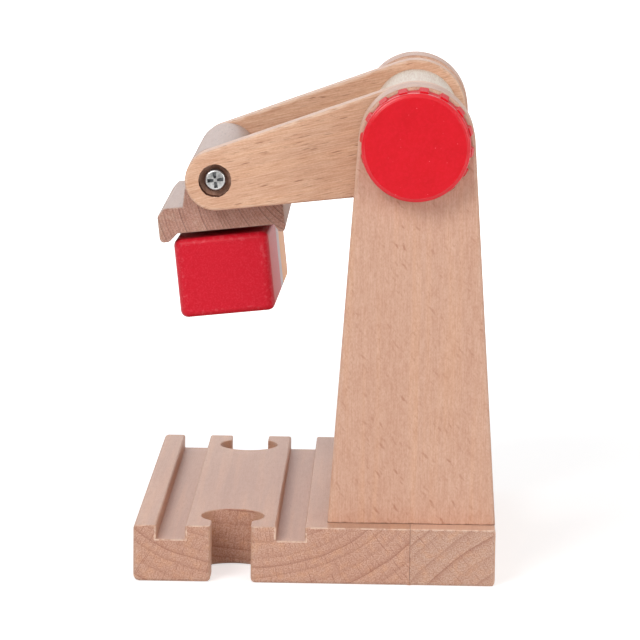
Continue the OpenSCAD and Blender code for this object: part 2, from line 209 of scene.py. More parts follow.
def blend_colours(add, factor, first, second, mode="MIX"):
    """The first colour where the factor is 0, turning into the second where it is 1."""
    return add("ShaderNodeMix", {0: factor, 6: first, 7: second},
               data_type="RGBA", blend_type=mode).outputs[2]


# %% World
WORLD_FILL = 0.50
DIM_STUDIO = 0.04
# Between which two slopes, backward and upward, a reflected direction turns from dim to white.
WHITE_BEHIND = (-0.55, 0.15)
WHITE_OVERHEAD = (0.3, 0.75)


def white_world():
    world = bpy.data.worlds.new("white_studio")
    world.use_nodes = True
    bpy.context.scene.world = world
    add, calc = node_chain(world.node_tree)
    camera_ray, reflected = seen_directly(add, calc)
    direction = add("ShaderNodeTexCoord").outputs["Generated"]
    _, away, upward = add("ShaderNodeSeparateXYZ", {"Vector": direction}).outputs
    behind = smooth_step(add, away, *WHITE_BEHIND, DIM_STUDIO, 1.0)
    overhead = smooth_step(add, upward, *WHITE_OVERHEAD, DIM_STUDIO, 1.0)
    behind = calc("MAXIMUM", behind, overhead)
    mirrored = calc("MULTIPLY", reflected, calc("SUBTRACT", behind, WORLD_FILL))
    strength = calc("MAXIMUM", calc("ADD", WORLD_FILL, mirrored), camera_ray)
    feed(world.node_tree.nodes["Background"], {"Color": (1, 1, 1, 1), "Strength": strength})
    print(f"{world.name}: fill {WORLD_FILL}, reflections in front {DIM_STUDIO}")


white_world()

# %% Floor
# The floor's own light rises from FLOOR_LIFT to 1 between two distances from the crane, in metres, and
# what it mirrors turns white between two places from front to back.
FLOOR_LIFT = 0.58
FLOOR_NEAR = 0.12
FLOOR_FAR = 0.40
WHITE_FROM = -0.50
WHITE_TO = -0.20
FLOOR_CLOTH = (0.72, 0.72, 0.72, 1)
FLOOR_MIRRORED_IN_FRONT = (0.08, 0.08, 0.08, 1)


def white_floor():
    """A wide pale table: white to the camera, and in reflections white behind the crane and dark in
    front of it. It keeps the crane's shadow, because part of its white is cloth that the lamps light."""
    bpy.ops.mesh.primitive_plane_add(size=6)
    floor = bpy.context.object
    floor.name = "floor"
    material = bpy.data.materials.new("floor_white")
    material.use_nodes = True
    tree = material.node_tree
    tree.nodes.clear()
    add, calc = node_chain(tree)
    camera_ray, reflected = seen_directly(add, calc)
    spot = add("ShaderNodeTexCoord").outputs["Object"]
    away = add("ShaderNodeVectorMath", {0: spot}, operation="LENGTH").outputs["Value"]
    far = smooth_step(add, away, FLOOR_NEAR, FLOOR_FAR, FLOOR_LIFT, 1.0)
    depth = add("ShaderNodeSeparateXYZ", {"Vector": spot}).outputs["Y"]
    behind = smooth_step(add, depth, WHITE_FROM, WHITE_TO)
    mirrored = calc("MULTIPLY", reflected, behind)
    seen = calc("MAXIMUM", camera_ray, mirrored)
    in_front = calc("MULTIPLY", reflected, calc("SUBTRACT", 1.0, behind))
    cloth = blend_colours(add, in_front, FLOOR_CLOTH, FLOOR_MIRRORED_IN_FRONT)
    diffuse = add("ShaderNodeBsdfDiffuse", {"Color": cloth}).outputs[0]
    lift = add("ShaderNodeEmission", {"Color": (1, 1, 1, 1), "Strength": calc("MULTIPLY", seen, far)})
    both = add("ShaderNodeAddShader", {0: diffuse, 1: lift.outputs[0]}).outputs[0]
    add("ShaderNodeOutputMaterial", {"Surface": both})
    floor.data.materials.append(material)
    print(f"{floor.name}: {len(tree.nodes)} nodes")


white_floor()
bpy.context.scene.view_settings.view_transform = "Standard"

# %% [markdown]
# ## Shapes: outline, cut, round
#
# Nearly every wooden piece of a toy like this starts as a board, is sawn to an outline, drilled, and
# sanded. The same three steps make its mesh. An outline is drawn and pushed to a thickness, round
# cutters are taken away with booleans, and then a bevel rounds the edges that stick out. A curve
# object could also round an outline, but it can't give one edge a larger radius than the next, which
# a sanded board has. Weighted normals keep the flat faces flat under smooth shading.

# %% A piece, an arc and a slab
def new_piece(name, mesh_maker, material_list):
    mesh = bpy.data.meshes.new(name)
    bm = bmesh.new()
    mesh_maker(bm)
    bmesh.ops.recalc_face_normals(bm, faces=bm.faces)
    bm.to_mesh(mesh)
    bm.free()
    for material in material_list:
        mesh.materials.append(material)
    piece = bpy.data.objects.new(name, mesh)
    bpy.context.scene.collection.objects.link(piece)
    return piece


def arc(centre, radius, start, end, steps):
    """Points (x, z) along a round stretch, angles in degrees."""
    points = []
    for step in range(steps + 1):
        angle = math.radians(start + (end - start) * step / steps)
        points.append((centre[0] + radius * math.cos(angle), centre[1] + radius * math.sin(angle)))
    return points


def slab(outline, y0, y1):
    """A board with this outline in x and z, from y0 to y1."""

    def maker(bm):
        front = bm.faces.new([bm.verts.new((x, y0, z)) for x, z in outline])
        pushed = bmesh.ops.extrude_face_region(bm, geom=[front])
        moved = [item for item in pushed["geom"] if isinstance(item, bmesh.types.BMVert)]
        bmesh.ops.translate(bm, verts=moved, vec=(0, y1 - y0, 0))

    return maker


# %% Turned pieces
ROUND_STEPS = 64
SAME_SPOT = 1e-7


def turned(profile, centre, axis=-Y_AXIS, steps=ROUND_STEPS, radius_at=None):
    """A piece turned on a lathe: profile is (radius, height) pairs, and height runs along axis."""
    axis = axis.normalized()
    side = axis.orthogonal().normalized()
    if abs(axis.y) > 0.9:
        side = UP
    other = axis.cross(side)

    def maker(bm):
        rings = []
        for radius, height in profile:
            if radius < SAME_SPOT:
                rings.append([bm.verts.new(centre + axis * height)])
                continue
            ring = []
            for step in range(steps):
                angle = 2 * math.pi * step / steps
                reach = radius + (radius_at(angle) if radius_at else 0)
                offset = (side * math.cos(angle) + other * math.sin(angle)) * reach
                ring.append(bm.verts.new(centre + offset + axis * height))
            rings.append(ring)
        for lower, upper in zip(rings, rings[1:]):
            for step in range(steps):
                ahead = (step + 1) % steps
                corners = [lower[step % len(lower)], lower[ahead % len(lower)],
                           upper[ahead % len(upper)], upper[step % len(upper)]]
                corners = list(dict.fromkeys(corners))
                if len(corners) > 2:
                    bm.faces.new(corners)

    return maker


def rod(radius, centre, axis, low, high, steps=ROUND_STEPS, radius_at=None):
    return turned([(0, low), (radius, low), (radius, high), (0, high)], centre, axis, steps, radius_at)


# %% Cutting
def bake_modifiers(piece):
    """Makes the mesh what the modifiers show, and clears them."""
    bpy.context.view_layer.update()
    shown = piece.evaluated_get(bpy.context.evaluated_depsgraph_get())
    mesh = bpy.data.meshes.new_from_object(shown)
    piece.modifiers.clear()
    piece.data = mesh


def carve(piece, makers, slot_index=0):
    """Takes cutters away from the piece. The walls they leave get the material in that slot."""
    cutters = []
    for maker in makers:
        cutter = new_piece("cutter", maker, piece.data.materials)
        for face in cutter.data.polygons:
            face.material_index = slot_index
        cut = piece.modifiers.new("cut", "BOOLEAN")
        cut.operation = "DIFFERENCE"
        cut.solver = "EXACT"
        cut.object = cutter
        cutters.append(cutter)
    bake_modifiers(piece)
    for cutter in cutters:
        bpy.data.objects.remove(cutter)


# %% Rounding
SHARP_ANGLE = math.radians(32)
FLAT_ANGLE = 0.001


def round_edges(piece, radius_of, segments=4, wear_and_highlight_at=lambda spot: 0.3):
    """Rounds each outward edge by radius_of(middle, direction). The new faces get the value of the last
    function at their middle, which the shaders paint pale, as wear and as a painted highlight.
    """
    mesh = piece.data
    bm = bmesh.new()
    bm.from_mesh(mesh)
    bmesh.ops.remove_doubles(bm, verts=bm.verts, dist=SAME_SPOT)
    bmesh.ops.dissolve_limit(bm, angle_limit=FLAT_ANGLE, verts=bm.verts, edges=bm.edges)
    weights = bm.edges.layers.float.new("bevel_weight_edge")
    wanted = {}
    for edge in bm.edges:
        if len(edge.link_faces) == 2 and edge.is_convex and edge.calc_face_angle() > SHARP_ANGLE:
            middle = (edge.verts[0].co + edge.verts[1].co) / 2
            direction = (edge.verts[1].co - edge.verts[0].co).normalized()
            wanted[edge] = radius_of(middle, direction)
    widest = max(wanted.values())
    for edge, radius in wanted.items():
        edge[weights] = radius / widest
    bm.to_mesh(mesh)
    bm.free()
    mark = len(mesh.materials)
    mesh.materials.append(mesh.materials[0])
    bevel = piece.modifiers.new("rounded", "BEVEL")
    bevel.limit_method = "WEIGHT"
    bevel.width = widest
    bevel.segments = segments
    bevel.use_clamp_overlap = False
    bevel.miter_outer = "MITER_ARC"
    bevel.material = mark
    bake_modifiers(piece)
    mesh = piece.data
    bm = bmesh.new()
    bm.from_mesh(mesh)
    bmesh.ops.triangulate(bm, faces=[face for face in bm.faces if len(face.verts) > 4])
    bm.to_mesh(mesh)
    bm.free()
    # The rounded faces carry the mark that the shaders paint pale, as wear and as a painted highlight.
    worn = mesh.attributes.new("worn", "FLOAT", "FACE")
    for face in mesh.polygons:
        if face.material_index == mark:
            worn.data[face.index].value = wear_and_highlight_at(face.center)
            face.material_index = 0
    mesh.materials.pop(index=mark)
    smooth(piece)


def smooth(piece):
    """Shades the mesh smooth, but keeps its sharp corners and the flatness of its big faces."""
    for face in piece.data.polygons:
        face.use_smooth = True
    piece.data.set_sharp_from_angle(angle=SHARP_ANGLE)
    normals = piece.modifiers.new("flat_faces_stay_flat", "WEIGHTED_NORMAL")
    normals.keep_sharp = True


# %% Putting a piece in its place
def place(piece, body, slot, *nodes):
    """Puts a finished piece on its body, in place of the construction nodes it stands for."""
    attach(piece, body)
    if nodes:
        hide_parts(*nodes)
    size = piece.dimensions / mm
    print(f"{piece.name}: {size.x:.1f} x {size.y:.1f} x {size.z:.1f} mm,", len(piece.data.polygons), "faces")


# %% [markdown]
# ## Beech
#
# Beech is pale and pinkish, with three marks that make it beech. Growth rings are wide bands that
# darken slowly and end sharply. Rays are thin sheets that stand across the rings: on a sawn end they
# are fine dark lines, and on a face they are short brown dashes. And fibres give every face a faint
# streak along the grain.
#
# A flat picture of wood would need a different picture for each face. Here the wood is a solid: each
# piece has its own place in a tree trunk, with the trunk's heart somewhere beside it. Rings are then
# cylinders round that heart, and each sawn face shows whatever the cylinders do there. The end of a
# board and its top agree with each other, as they do in real timber.

# %% Colours
def paint(code):
    """A colour written as on a paint chart, turned into the linear light that shaders use."""
    channels = [int(code[i:i + 2], 16) / 255 for i in (1, 3, 5)]
    linear = [c / 12.92 if c <= 0.04045 else ((c + 0.055) / 1.055) ** 2.4 for c in channels]
    return (*linear, 1)


# %% Node helpers for surfaces
# How long the pieces are, in millimetres, into which a thread in the wood breaks.
THREAD_PIECE = 2.6
# A noise hardly leaves its middle, so a push has to be this many times the reach that is asked for.
PUSH_GAIN = 4


def noise(add, vector, detail=2.0, roughness=0.5, output=0):
    return add("ShaderNodeTexNoise", {"Vector": vector, "Scale": 1.0, "Detail": detail,
                                      "Roughness": roughness}).outputs[output]


def measured_in(add, vector, sizes):
    """The vector in units of these sizes, so that a noise has grains of about that size."""
    return add("ShaderNodeVectorMath", {0: vector, 1: tuple(1 / size for size in sizes)},
               operation="MULTIPLY").outputs[0]


def grains(add, where, size, detail=3.0):
    """A noise with round grains of this size in millimetres, on an object measured in metres."""
    return noise(add, measured_in(add, where, (size * mm,) * 3), detail)


def shaken(add, vector, size, reach):
    """The vector pushed about by up to reach, so that what is drawn in it bends and breaks up."""
    reach = tuple(side * PUSH_GAIN for side in reach)
    push = noise(add, measured_in(add, vector, size), 2.0, output="Color")
    push = add("ShaderNodeVectorMath", {0: push, 1: (0.5, 0.5, 0.5)}, operation="SUBTRACT").outputs[0]
    return add("ShaderNodeVectorMath", {0: push, 1: reach, 2: vector},
               operation="MULTIPLY_ADD").outputs[0]


def dashes(add, calc, vector, spacing, girth):
    """Separate spindles, one to a cell of this spacing, each girth times as big as its cell."""
    cells = add("ShaderNodeTexVoronoi", {"Vector": measured_in(add, vector, spacing), "Scale": 1.0})
    inside = smooth_step(add, cells.outputs["Distance"], girth, girth * 0.3)
    chance = add("ShaderNodeSeparateColor", {"Color": cells.outputs["Color"]}).outputs[0]
    return calc("MULTIPLY", inside, smooth_step(add, chance, 0.0, 0.9))


def threads(add, calc, around, radius, spread, girth):
    """Thin lines that run straight out from the heart, one to each stretch of this spread, broken."""
    count = calc("DIVIDE", around, spread)
    kind = add("ShaderNodeTexWhiteNoise", {"W": calc("FLOOR", count)}, noise_dimensions="1D")
    place_in, strong, _ = add("ShaderNodeSeparateColor", {"Color": kind.outputs["Color"]}).outputs
    middle = smooth_step(add, place_in, 0, 1, 0.15, 0.85)
    off = calc("MULTIPLY", calc("ABSOLUTE", calc("SUBTRACT", calc("FRACT", count), middle)), spread)
    line = smooth_step(add, off, girth, girth * 0.3)
    stretch = add("ShaderNodeCombineXYZ", {"X": calc("MULTIPLY", place_in, 90.0),
                                           "Y": calc("DIVIDE", radius, THREAD_PIECE)}).outputs[0]
    broken = smooth_step(add, noise(add, stretch, 1.0), 0.42, 0.6)
    return calc("MULTIPLY", calc("MULTIPLY", line, broken), smooth_step(add, strong, 0, 1, 0.3, 1.0))


def bumped(add, height, strength, depth):
    """A normal that lets the light see this height, up to depth millimetres, on a smooth mesh."""
    inputs = {"Height": height, "Strength": strength, "Distance": depth * mm}
    return add("ShaderNodeBump", inputs).outputs[0]


def new_material(name):
    """An empty material, with the two node helpers for its tree."""
    material = bpy.data.materials.new(name)
    material.use_nodes = True
    return material, *node_chain(material.node_tree)


def finished(material, inputs):
    """Feeds the material's shader with what has been worked out for it."""
    feed(material.node_tree.nodes["Principled BSDF"], inputs)
    print(f"{material.name}: {len(material.node_tree.nodes)} nodes")
    return material


# %% Growth rings
RAMP_MARGIN = 4
YEAR_END = 0.16


def ring_shade(add, calc, radius, years, warp, sharpness):
    """0 in the pale wood of spring, rising to 1 where the year ends, and then 0 again at once. years
    is either how many millimetres a year takes, or the radius at which each year ends."""
    if isinstance(years, (tuple, list)):
        inner, outer = years[0] - RAMP_MARGIN, years[-1] + RAMP_MARGIN
        place_on_ramp = calc("DIVIDE", calc("SUBTRACT", radius, inner), outer - inner)
        ramp = add("ShaderNodeValToRGB", {"Fac": place_on_ramp})
        stops = ramp.color_ramp.elements
        stops[0].color = (0.2, 0.2, 0.2, 1)
        stops[1].color = (0.5, 0.5, 0.5, 1)
        for number, year in enumerate(years):
            peak = 1.0 - 0.08 * (number * 7 % 3)
            for position, level in ((year, peak), (year + YEAR_END, 0.0)):
                stop = stops.new((position - inner) / (outer - inner))
                stop.color = (level, level, level, 1)
        share = ramp.outputs["Color"]
    else:
        count = calc("ADD", calc("DIVIDE", radius, years), calc("MULTIPLY", warp, 0.8))
        share = calc("FRACT", count)
        share = calc("MULTIPLY", share, smooth_step(add, share, 1.0, 0.9))
        kind = add("ShaderNodeTexWhiteNoise", {"W": calc("FLOOR", count)}, noise_dimensions="1D")
        share = calc("MULTIPLY", share, smooth_step(add, kind.outputs["Value"], 0, 1, 0.6, 1.1))
    soft = calc("POWER", share, sharpness)
    thin = calc("POWER", share, sharpness * 5)
    return calc("ADD", calc("MULTIPLY", soft, 0.6), calc("MULTIPLY", thin, 0.4))


# %% The solid wood
# Each noise in the wood: its grains across, across and along in millimetres, its detail, its roughness.
WOOD_NOISES = {
    "warp": ((9, 9, 60), 1.0, 0.5),
    "patches": ((4, 4, 24), 1.0, 0.5),
    "fibres": ((0.25, 0.25, 6.0), 3.0, 0.6),
    "pores": ((0.28, 0.28, 0.5), 2.0, 0.6),
    "clouds": ((1.2, 1.2, 3.0), 2.0, 0.5),
    "bands": ((2.2, 2.2, 60), 2.0, 0.5),
    "drift": ((12, 12, 60), 2.0, 0.5),
}
WANDER_GRAINS = (16, 16, 160)
SHAKE_GRAINS = (2.5, 2.5, 2.5)
DRIFT = 0.025
SMALL_FLECK = 0.62
# Where the wood is darker, red falls less than green, and blue falls more.
RED_POWER = 0.55
BLUE_POWER = 1.25
END_FACING = (0.60, 0.85)
# Dark brown for the line where a piece stands on the next: glue, and painted shade in the crevice.
GLUE_AND_SHADE_TONE = "#5a3220"
# Pale tone for the rounded edges: wood worn pale, and a painted highlight along each arris.
WEAR_AND_HIGHLIGHT_TONE = "#f3d8c2"
BEECH_ROUGHNESS = 0.5


def in_millimetres(add, where, turn, start=(0, 0, 0)):
    """Where a point lies, in millimetres, in a space that is turned, with its zero at start."""
    return add("ShaderNodeMapping", {"Vector": where.outputs["Object"], "Location": Vector(start) * mm,
                                     "Rotation": turn, "Scale": (mm, mm, mm)},
               vector_type="TEXTURE").outputs[0]


def beech(name, face, end, line, heart, turn=(0, 0, 0), years=3.0, rings_on=(0.18, 0.6), sharpness=4.0,
          wander=1.2, reach=45, fleck_turn=None, fleck=((0.6, 0.6, 8), 0.28, 0.6), fleck_shake=0.3,
          thread=(1.3, 0.13, 0.75), streaks=0.05, speckles=(0.06, 0.16), mottle=0.03, banding=0.03,
          warm="#dba57f", wear_and_highlight_amount=0.6, joint=None, sheen=0.15):
    """Solid beech. heart is a spot in the middle of the trunk, in millimetres, and turn leads Z along
    the grain. Where there are two numbers, the first is for the faces and the second for the ends.
    fleck and thread are the size, the girth and the depth of the marks on a face and on an end, and
    joint says where the piece stands on another one: on which axis, at what place, how far it shows."""
    material, add, calc = new_material(name)
    where = add("ShaderNodeTexCoord")
    wood = in_millimetres(add, where, turn, heart)
    seen = {kind: noise(add, measured_in(add, wood, size), detail, lumps)
            for kind, (size, detail, lumps) in WOOD_NOISES.items()}
    along = add("ShaderNodeVectorMath", {0: where.outputs["Normal"], 1: Euler(turn).to_matrix() @ UP},
                operation="DOT_PRODUCT").outputs["Value"]
    is_end = smooth_step(add, calc("ABSOLUTE", along), *END_FACING)

    def on_end(for_face, for_end):
        return smooth_step(add, is_end, 0, 1, for_face, for_end)

    def swing(value, amount):
        """A noise made into a factor that goes this much above and below 1."""
        centred = smooth_step(add, value, 0.3, 0.7, -1.0, 1.0)
        return calc("ADD", calc("MULTIPLY", centred, amount), 1.0)

    # Rings wander, because a trunk isn't perfectly round.
    bent = shaken(add, wood, WANDER_GRAINS, (wander, wander, 0))
    x, y, z = add("ShaderNodeSeparateXYZ", {"Vector": bent}).outputs
    radius = calc("SQRT", calc("ADD", calc("MULTIPLY", x, x), calc("MULTIPLY", y, y)))
    around = calc("MULTIPLY", calc("ARCTAN2", y, x), float(reach))
    rings = ring_shade(add, calc, radius, years, seen["warp"], sharpness)
    rings = calc("MULTIPLY", rings, on_end(*rings_on))

    # Rays: threads on an end, dashes on a face.
    thread_spread, thread_girth, thread_depth = thread
    rays = threads(add, calc, around, radius, thread_spread, thread_girth)
    rays = calc("MULTIPLY", rays, thread_depth)
    fleck_space = in_millimetres(add, where, fleck_turn) if fleck_turn else wood
    fleck_space = shaken(add, fleck_space, SHAKE_GRAINS, (fleck_shake,) * 3)
    fleck_cell, fleck_girth, fleck_depth = fleck
    flecks = dashes(add, calc, fleck_space, fleck_cell, fleck_girth)
    small = dashes(add, calc, fleck_space, [side * SMALL_FLECK for side in fleck_cell], fleck_girth * 1.1)
    flecks = calc("MAXIMUM", flecks, calc("MULTIPLY", small, 0.5))
    patches = smooth_step(add, seen["patches"], 0.35, 0.6, 0.35, 1.0)
    flecks = calc("MULTIPLY", calc("MULTIPLY", flecks, patches), fleck_depth)
    flecks = calc("MULTIPLY", flecks, calc("SUBTRACT", 1.0, is_end))
    marks = calc("ADD", calc("MULTIPLY", rays, is_end), flecks)

    # Fibres are streaks on a face and pores are dots on an end. Over both lie soft bands and clouds.
    light = 1.0
    for kind, amount in (("fibres", on_end(streaks, 0.0)), ("pores", on_end(*speckles)),
                         ("clouds", mottle), ("bands", on_end(banding, 0.0)), ("drift", DRIFT)):
        light = calc("MULTIPLY", light, swing(seen[kind], amount))

    tone = blend_colours(add, is_end, paint(face), paint(end))
    tone = blend_colours(add, smooth_step(add, seen["bands"], 0.45, 0.75, 0.0, 0.35), tone, paint(warm))
    level = add("ShaderNodeCombineXYZ", {"X": calc("POWER", light, RED_POWER), "Y": light,
                                         "Z": calc("POWER", light, BLUE_POWER)}).outputs[0]
    tone = blend_colours(add, 1.0, tone, level, "MULTIPLY")
    tone = blend_colours(add, rings, tone, paint(line))
    tone = blend_colours(add, marks, tone, paint(line))
    # The rounded edges are painted pale: wood worn pale there, and a painted highlight where edges catch the
    # light.
    worn = add("ShaderNodeAttribute", attribute_name="worn").outputs["Fac"]
    rubbed_and_highlit = smooth_step(add, seen["clouds"], 0.38, 0.6, wear_and_highlight_amount * 0.1, wear_and_highlight_amount)
    tone = blend_colours(add, calc("MULTIPLY", worn, rubbed_and_highlit), tone, paint(WEAR_AND_HIGHLIGHT_TONE))
    if joint:
        # A thin dark line where the piece stands on the next one: glue, and painted shade in the crevice.
        side, position, glue_and_shade_reach = joint
        place_at = add("ShaderNodeSeparateXYZ", {"Vector": where.outputs["Object"]}).outputs[side]
        off = calc("ABSOLUTE", calc("SUBTRACT", place_at, position * mm))
        ripple = grains(add, where.outputs["Object"], 1.6, 2.0)
        glue_and_shade_line = smooth_step(add, off, calc("MULTIPLY", ripple, 2 * glue_and_shade_reach * mm), 0.0, 0.0, 0.8)
        tone = blend_colours(add, glue_and_shade_line, tone, paint(GLUE_AND_SHADE_TONE))

    relief = calc("SUBTRACT", calc("MULTIPLY", seen["fibres"], 0.6), marks)
    return finished(material, {"Base Color": tone, "Roughness": BEECH_ROUGHNESS, "Sheen Weight": sheen,
                               "Sheen Roughness": 0.35, "Normal": bumped(add, relief, 0.35, 0.06)})


# %% Every kind of wood in the crane
ALONG_Y = (math.pi / 2, 0, 0)
arm_direction = (pivot - hub).normalized()
ARM_TURN = (0, math.atan2(arm_direction.x, arm_direction.z), 0)
TRACK_YEARS = (31.0, 34.0, 37.3, 39.3, 41.3, 44.3, 47.2, 50.1, 51.6, 54.5)
SIDE_YEARS = (29.5, 33.5, 37.2, 40.5, 43.6, 46.9, 48.8, 51.8, 54.5)

# The track board is a darker beech than the side board: partly its own tone, and partly painted shade.
track_beech = beech("track_beech", "#c99d84", "#c79983", "#8e4c36", heart=(-13.6, 0, 42.3), turn=ALONG_Y,
                    years=TRACK_YEARS, rings_on=(0.12, 0.75), wander=0.5, reach=42,
                    fleck=((0.6, 0.6, 8), 0.26, 0.25), thread=(0.9, 0.10, 0.6), speckles=(0.08, 0.3),
                    sheen=0.05)
side_beech = beech("side_beech", "#dcaf95", "#c69d88", "#8e4c36", heart=(55, 0, -25.5), turn=ALONG_Y,
                   years=SIDE_YEARS, rings_on=(0.12, 0.75), wander=0.4, reach=42,
                   fleck=((0.6, 0.6, 8), 0.26, 0.25), thread=(1.1, 0.10, 0.6), speckles=(0.08, 0.3),
                   joint=("X", 19.9, 0.16))
panel_beech = beech("panel_beech", "#d3a68e", "#c5957b", "#a4603f", heart=(60, 40, 0), years=5.0,
                    rings_on=(0.06, 0.5), fleck_turn=(0, math.radians(-38), 0),
                    fleck=((1.15, 1.0, 5.0), 0.30, 0.5), fleck_shake=0.35, reach=90, streaks=0.08,
                    speckles=(0.09, 0.2), mottle=0.045, wear_and_highlight_amount=0.25, joint=("Z", 12.0, 0.34))
arm_beech = beech("arm_beech", "#dbad8f", "#cf9f80", "#8f5232", heart=(0, -60, 80), turn=ARM_TURN,
                  years=4.0, rings_on=(0.10, 0.5), fleck=((0.42, 0.42, 5.0), 0.30, 1.0), fleck_shake=0.06,
                  reach=70, streaks=0.20, speckles=(0.07, 0.15), banding=0.06, wear_and_highlight_amount=0.45)
roller_beech = beech("roller_beech", "#e0ccb8", "#d0b096", "#a98468", heart=(30, 0, 60), turn=ALONG_Y,
                     years=2.2, rings_on=(0.1, 0.4), fleck=((0.5, 0.5, 8.0), 0.25, 0.2), warm="#e2cab0",
                     streaks=0.16, speckles=(0.13, 0.15))
carrier_beech = beech("carrier_beech", "#bb9d90", "#bb8c7b", "#4a231a", heart=(-2.5, 0, 82.8), turn=ALONG_Y,
                      years=0.66, rings_on=(0.06, 0.9), sharpness=1.8, wander=0.25, reach=22,
                      thread=(1.6, 0.12, 0.25), streaks=0.05, speckles=(0.10, 0.25), warm="#c4a38e",
                      wear_and_highlight_amount=0.4)


# %% [markdown]
# ## The scorched and shaded counterbore
#
# A blunt drill rubs the side of a wide hole until it browns, and leaves the floor of the hole paler
# and torn. The wall's darker colour is also painted shade, the shade that falls inside the hole.
# Painting a ring would need a picture. Asking which way the surface faces is simpler: the floor faces
# along the drill, and the wall doesn't.

# %% Scorched wood and painted shade
def scorched_and_shaded():
    """The drill's rim scorches the wall of its hole darker than the floor, and the dark wall is painted
    shade too.
    """
    material, add, calc = new_material("scorched_and_shaded_hole")
    where = add("ShaderNodeTexCoord")
    torn = smooth_step(add, grains(add, where.outputs["Object"], 1.3), 0.3, 0.7)
    floor_tone = blend_colours(add, torn, paint("#b8876f"), paint("#d6ab94"))
    facing = add("ShaderNodeSeparateXYZ", {"Vector": where.outputs["Normal"]}).outputs["Y"]
    on_floor = smooth_step(add, calc("ABSOLUTE", facing), 0.4, 0.8)
    # The wall is dark from scorch and from painted shade of the hole.
    tone = blend_colours(add, on_floor, paint("#61341e"), floor_tone)
    return finished(material, {"Base Color": tone, "Roughness": 0.75})


scorched_and_shaded_hole = scorched_and_shaded()


# %% [markdown]
# ## Red plastic
#
# The knobs are moulded in one red all through. The cap's face is smooth and a little glossy, with a
# few pale specks of dust in its skin, and the wheel under it is rougher from its mould and from
# fingers. One function makes both, with its roughness and gloss passed in.

# %% Red plastic
def red_plastic(name, roughness, specular):
    material, add, calc = new_material(name)
    where = add("ShaderNodeTexCoord").outputs["Object"]
    tone = blend_colours(add, grains(add, where, 5), paint("#d50717"), paint("#e80d21"))
    shallow = grains(add, where, 0.5)
    tone = blend_colours(add, smooth_step(add, shallow, 0.35, 0.75, 0.0, 0.45), tone, paint("#ec1a32"))
    specks = dashes(add, calc, where, (1.35 * mm,) * 3, 0.12)
    tone = blend_colours(add, calc("MULTIPLY", specks, 0.7), tone, paint("#ff7f88"))
    relief = calc("ADD", calc("MULTIPLY", shallow, 0.3), specks)
    return finished(material, {"Base Color": tone, "Roughness": roughness, "Specular IOR Level": specular,
                               "Normal": bumped(add, relief, 0.3, 0.04)})


knob_red = red_plastic("red_plastic", 0.28, 0.5)
grip_red = red_plastic("red_plastic_grip", 0.5, 0.25)


# %% [markdown]
# ## Red paint and stripes
#
# The block is brushed with two or three coats of red, which leave a fine orange-peel skin. Round its
# far half run a pale, a yellow and an orange stripe. They could be separate pieces, but paint has no
# thickness to speak of, so the colour changes with the distance along the block.

# %% Red paint
# Each stripe's start, end and colour, in millimetres back from the middle of the crane.
CARGO_STRIPES = ((-1, 6, "#c9b6bd"), (6, 19, "#f29c00"), (19, 24, "#e08a1c"))
STRIPE_BLUR = 0.15 * mm


def red_paint():
    material, add, calc = new_material("red_paint")
    where = add("ShaderNodeTexCoord").outputs["Object"]
    cloud = noise(add, measured_in(add, where, (1.6 * mm, 5 * mm, 1.2 * mm)), 4.0, 0.6)
    tone = blend_colours(add, cloud, paint("#cc1226"), paint("#d8182e"))
    skin = grains(add, where, 0.35)
    tone = blend_colours(add, smooth_step(add, skin, 0.4, 0.8, 0.0, 0.35), tone, paint("#ea4152"))
    across = add("ShaderNodeSeparateXYZ", {"Vector": where}).outputs["Y"]
    for start, end, code in CARGO_STRIPES:
        rise = smooth_step(add, across, start * mm - STRIPE_BLUR, start * mm + STRIPE_BLUR)
        fall = smooth_step(add, across, end * mm + STRIPE_BLUR, end * mm - STRIPE_BLUR)
        tone = blend_colours(add, calc("MULTIPLY", rise, fall), tone, paint(code))
    # The rounded edges are painted paler: paint worn thin, and a painted highlight along them.
    thin = add("ShaderNodeAttribute", attribute_name="worn").outputs["Fac"]
    bare = smooth_step(add, grains(add, where, 0.9), 0.5, 0.7, 0.0, 0.18)
    tone = blend_colours(add, calc("MULTIPLY", thin, bare), tone, paint("#f08088"))
    return finished(material, {"Base Color": tone, "Roughness": 0.38, "Specular IOR Level": 0.22,
                               "Normal": bumped(add, skin, 0.35, 0.06)})


cargo_red = red_paint()


# %% [markdown]
# ## Metals
#
# The screws are zinc plated, the magnet is nickel plated, and the disc on the block is bare rolled
# steel. What tells bright metals apart at this size is how sharp their reflections are and how
# cloudy the plating is, so one function with those two numbers makes them all.

# %% Zinc and nickel
SCRATCH = 0.2


def metal(name, colour, roughness, stain_tone="#8d8f92"):
    material, add, _ = new_material(name)
    where = add("ShaderNodeTexCoord").outputs["Object"]
    stain = smooth_step(add, grains(add, where, 0.8), 0.4, 0.75)
    tone = blend_colours(add, stain, paint(colour), paint(stain_tone))
    worn = smooth_step(add, grains(add, where, 0.3, 4.0), 0.3, 0.8, roughness, roughness + SCRATCH)
    return finished(material, {"Base Color": tone, "Roughness": worn, "Metallic": 1.0})


zinc = metal("zinc", "#f4f3f0", 0.30, "#c6c7c8")
recess_zinc = metal("zinc_recess", "#a3a4a6", 0.40, "#4c4d50")
nickel = metal("nickel", "#c4c4c2", 0.18)
rolled_steel = metal("rolled_steel", "#b4b4b4", 0.35)

# %% [markdown]
# ## The base
#
# The track board is one length of beech with two square grooves for the wheels and, at each end, a
# round socket with a narrow neck that takes the next piece of track. A narrower board is glued along
# its right edge to carry the uprights. The section with its grooves is drawn once and pushed along
# the track, then the sockets are cut down through it, as a router would. From below, each upright is
# held by two countersunk screws, so both boards also get a stepped hole for each screw.

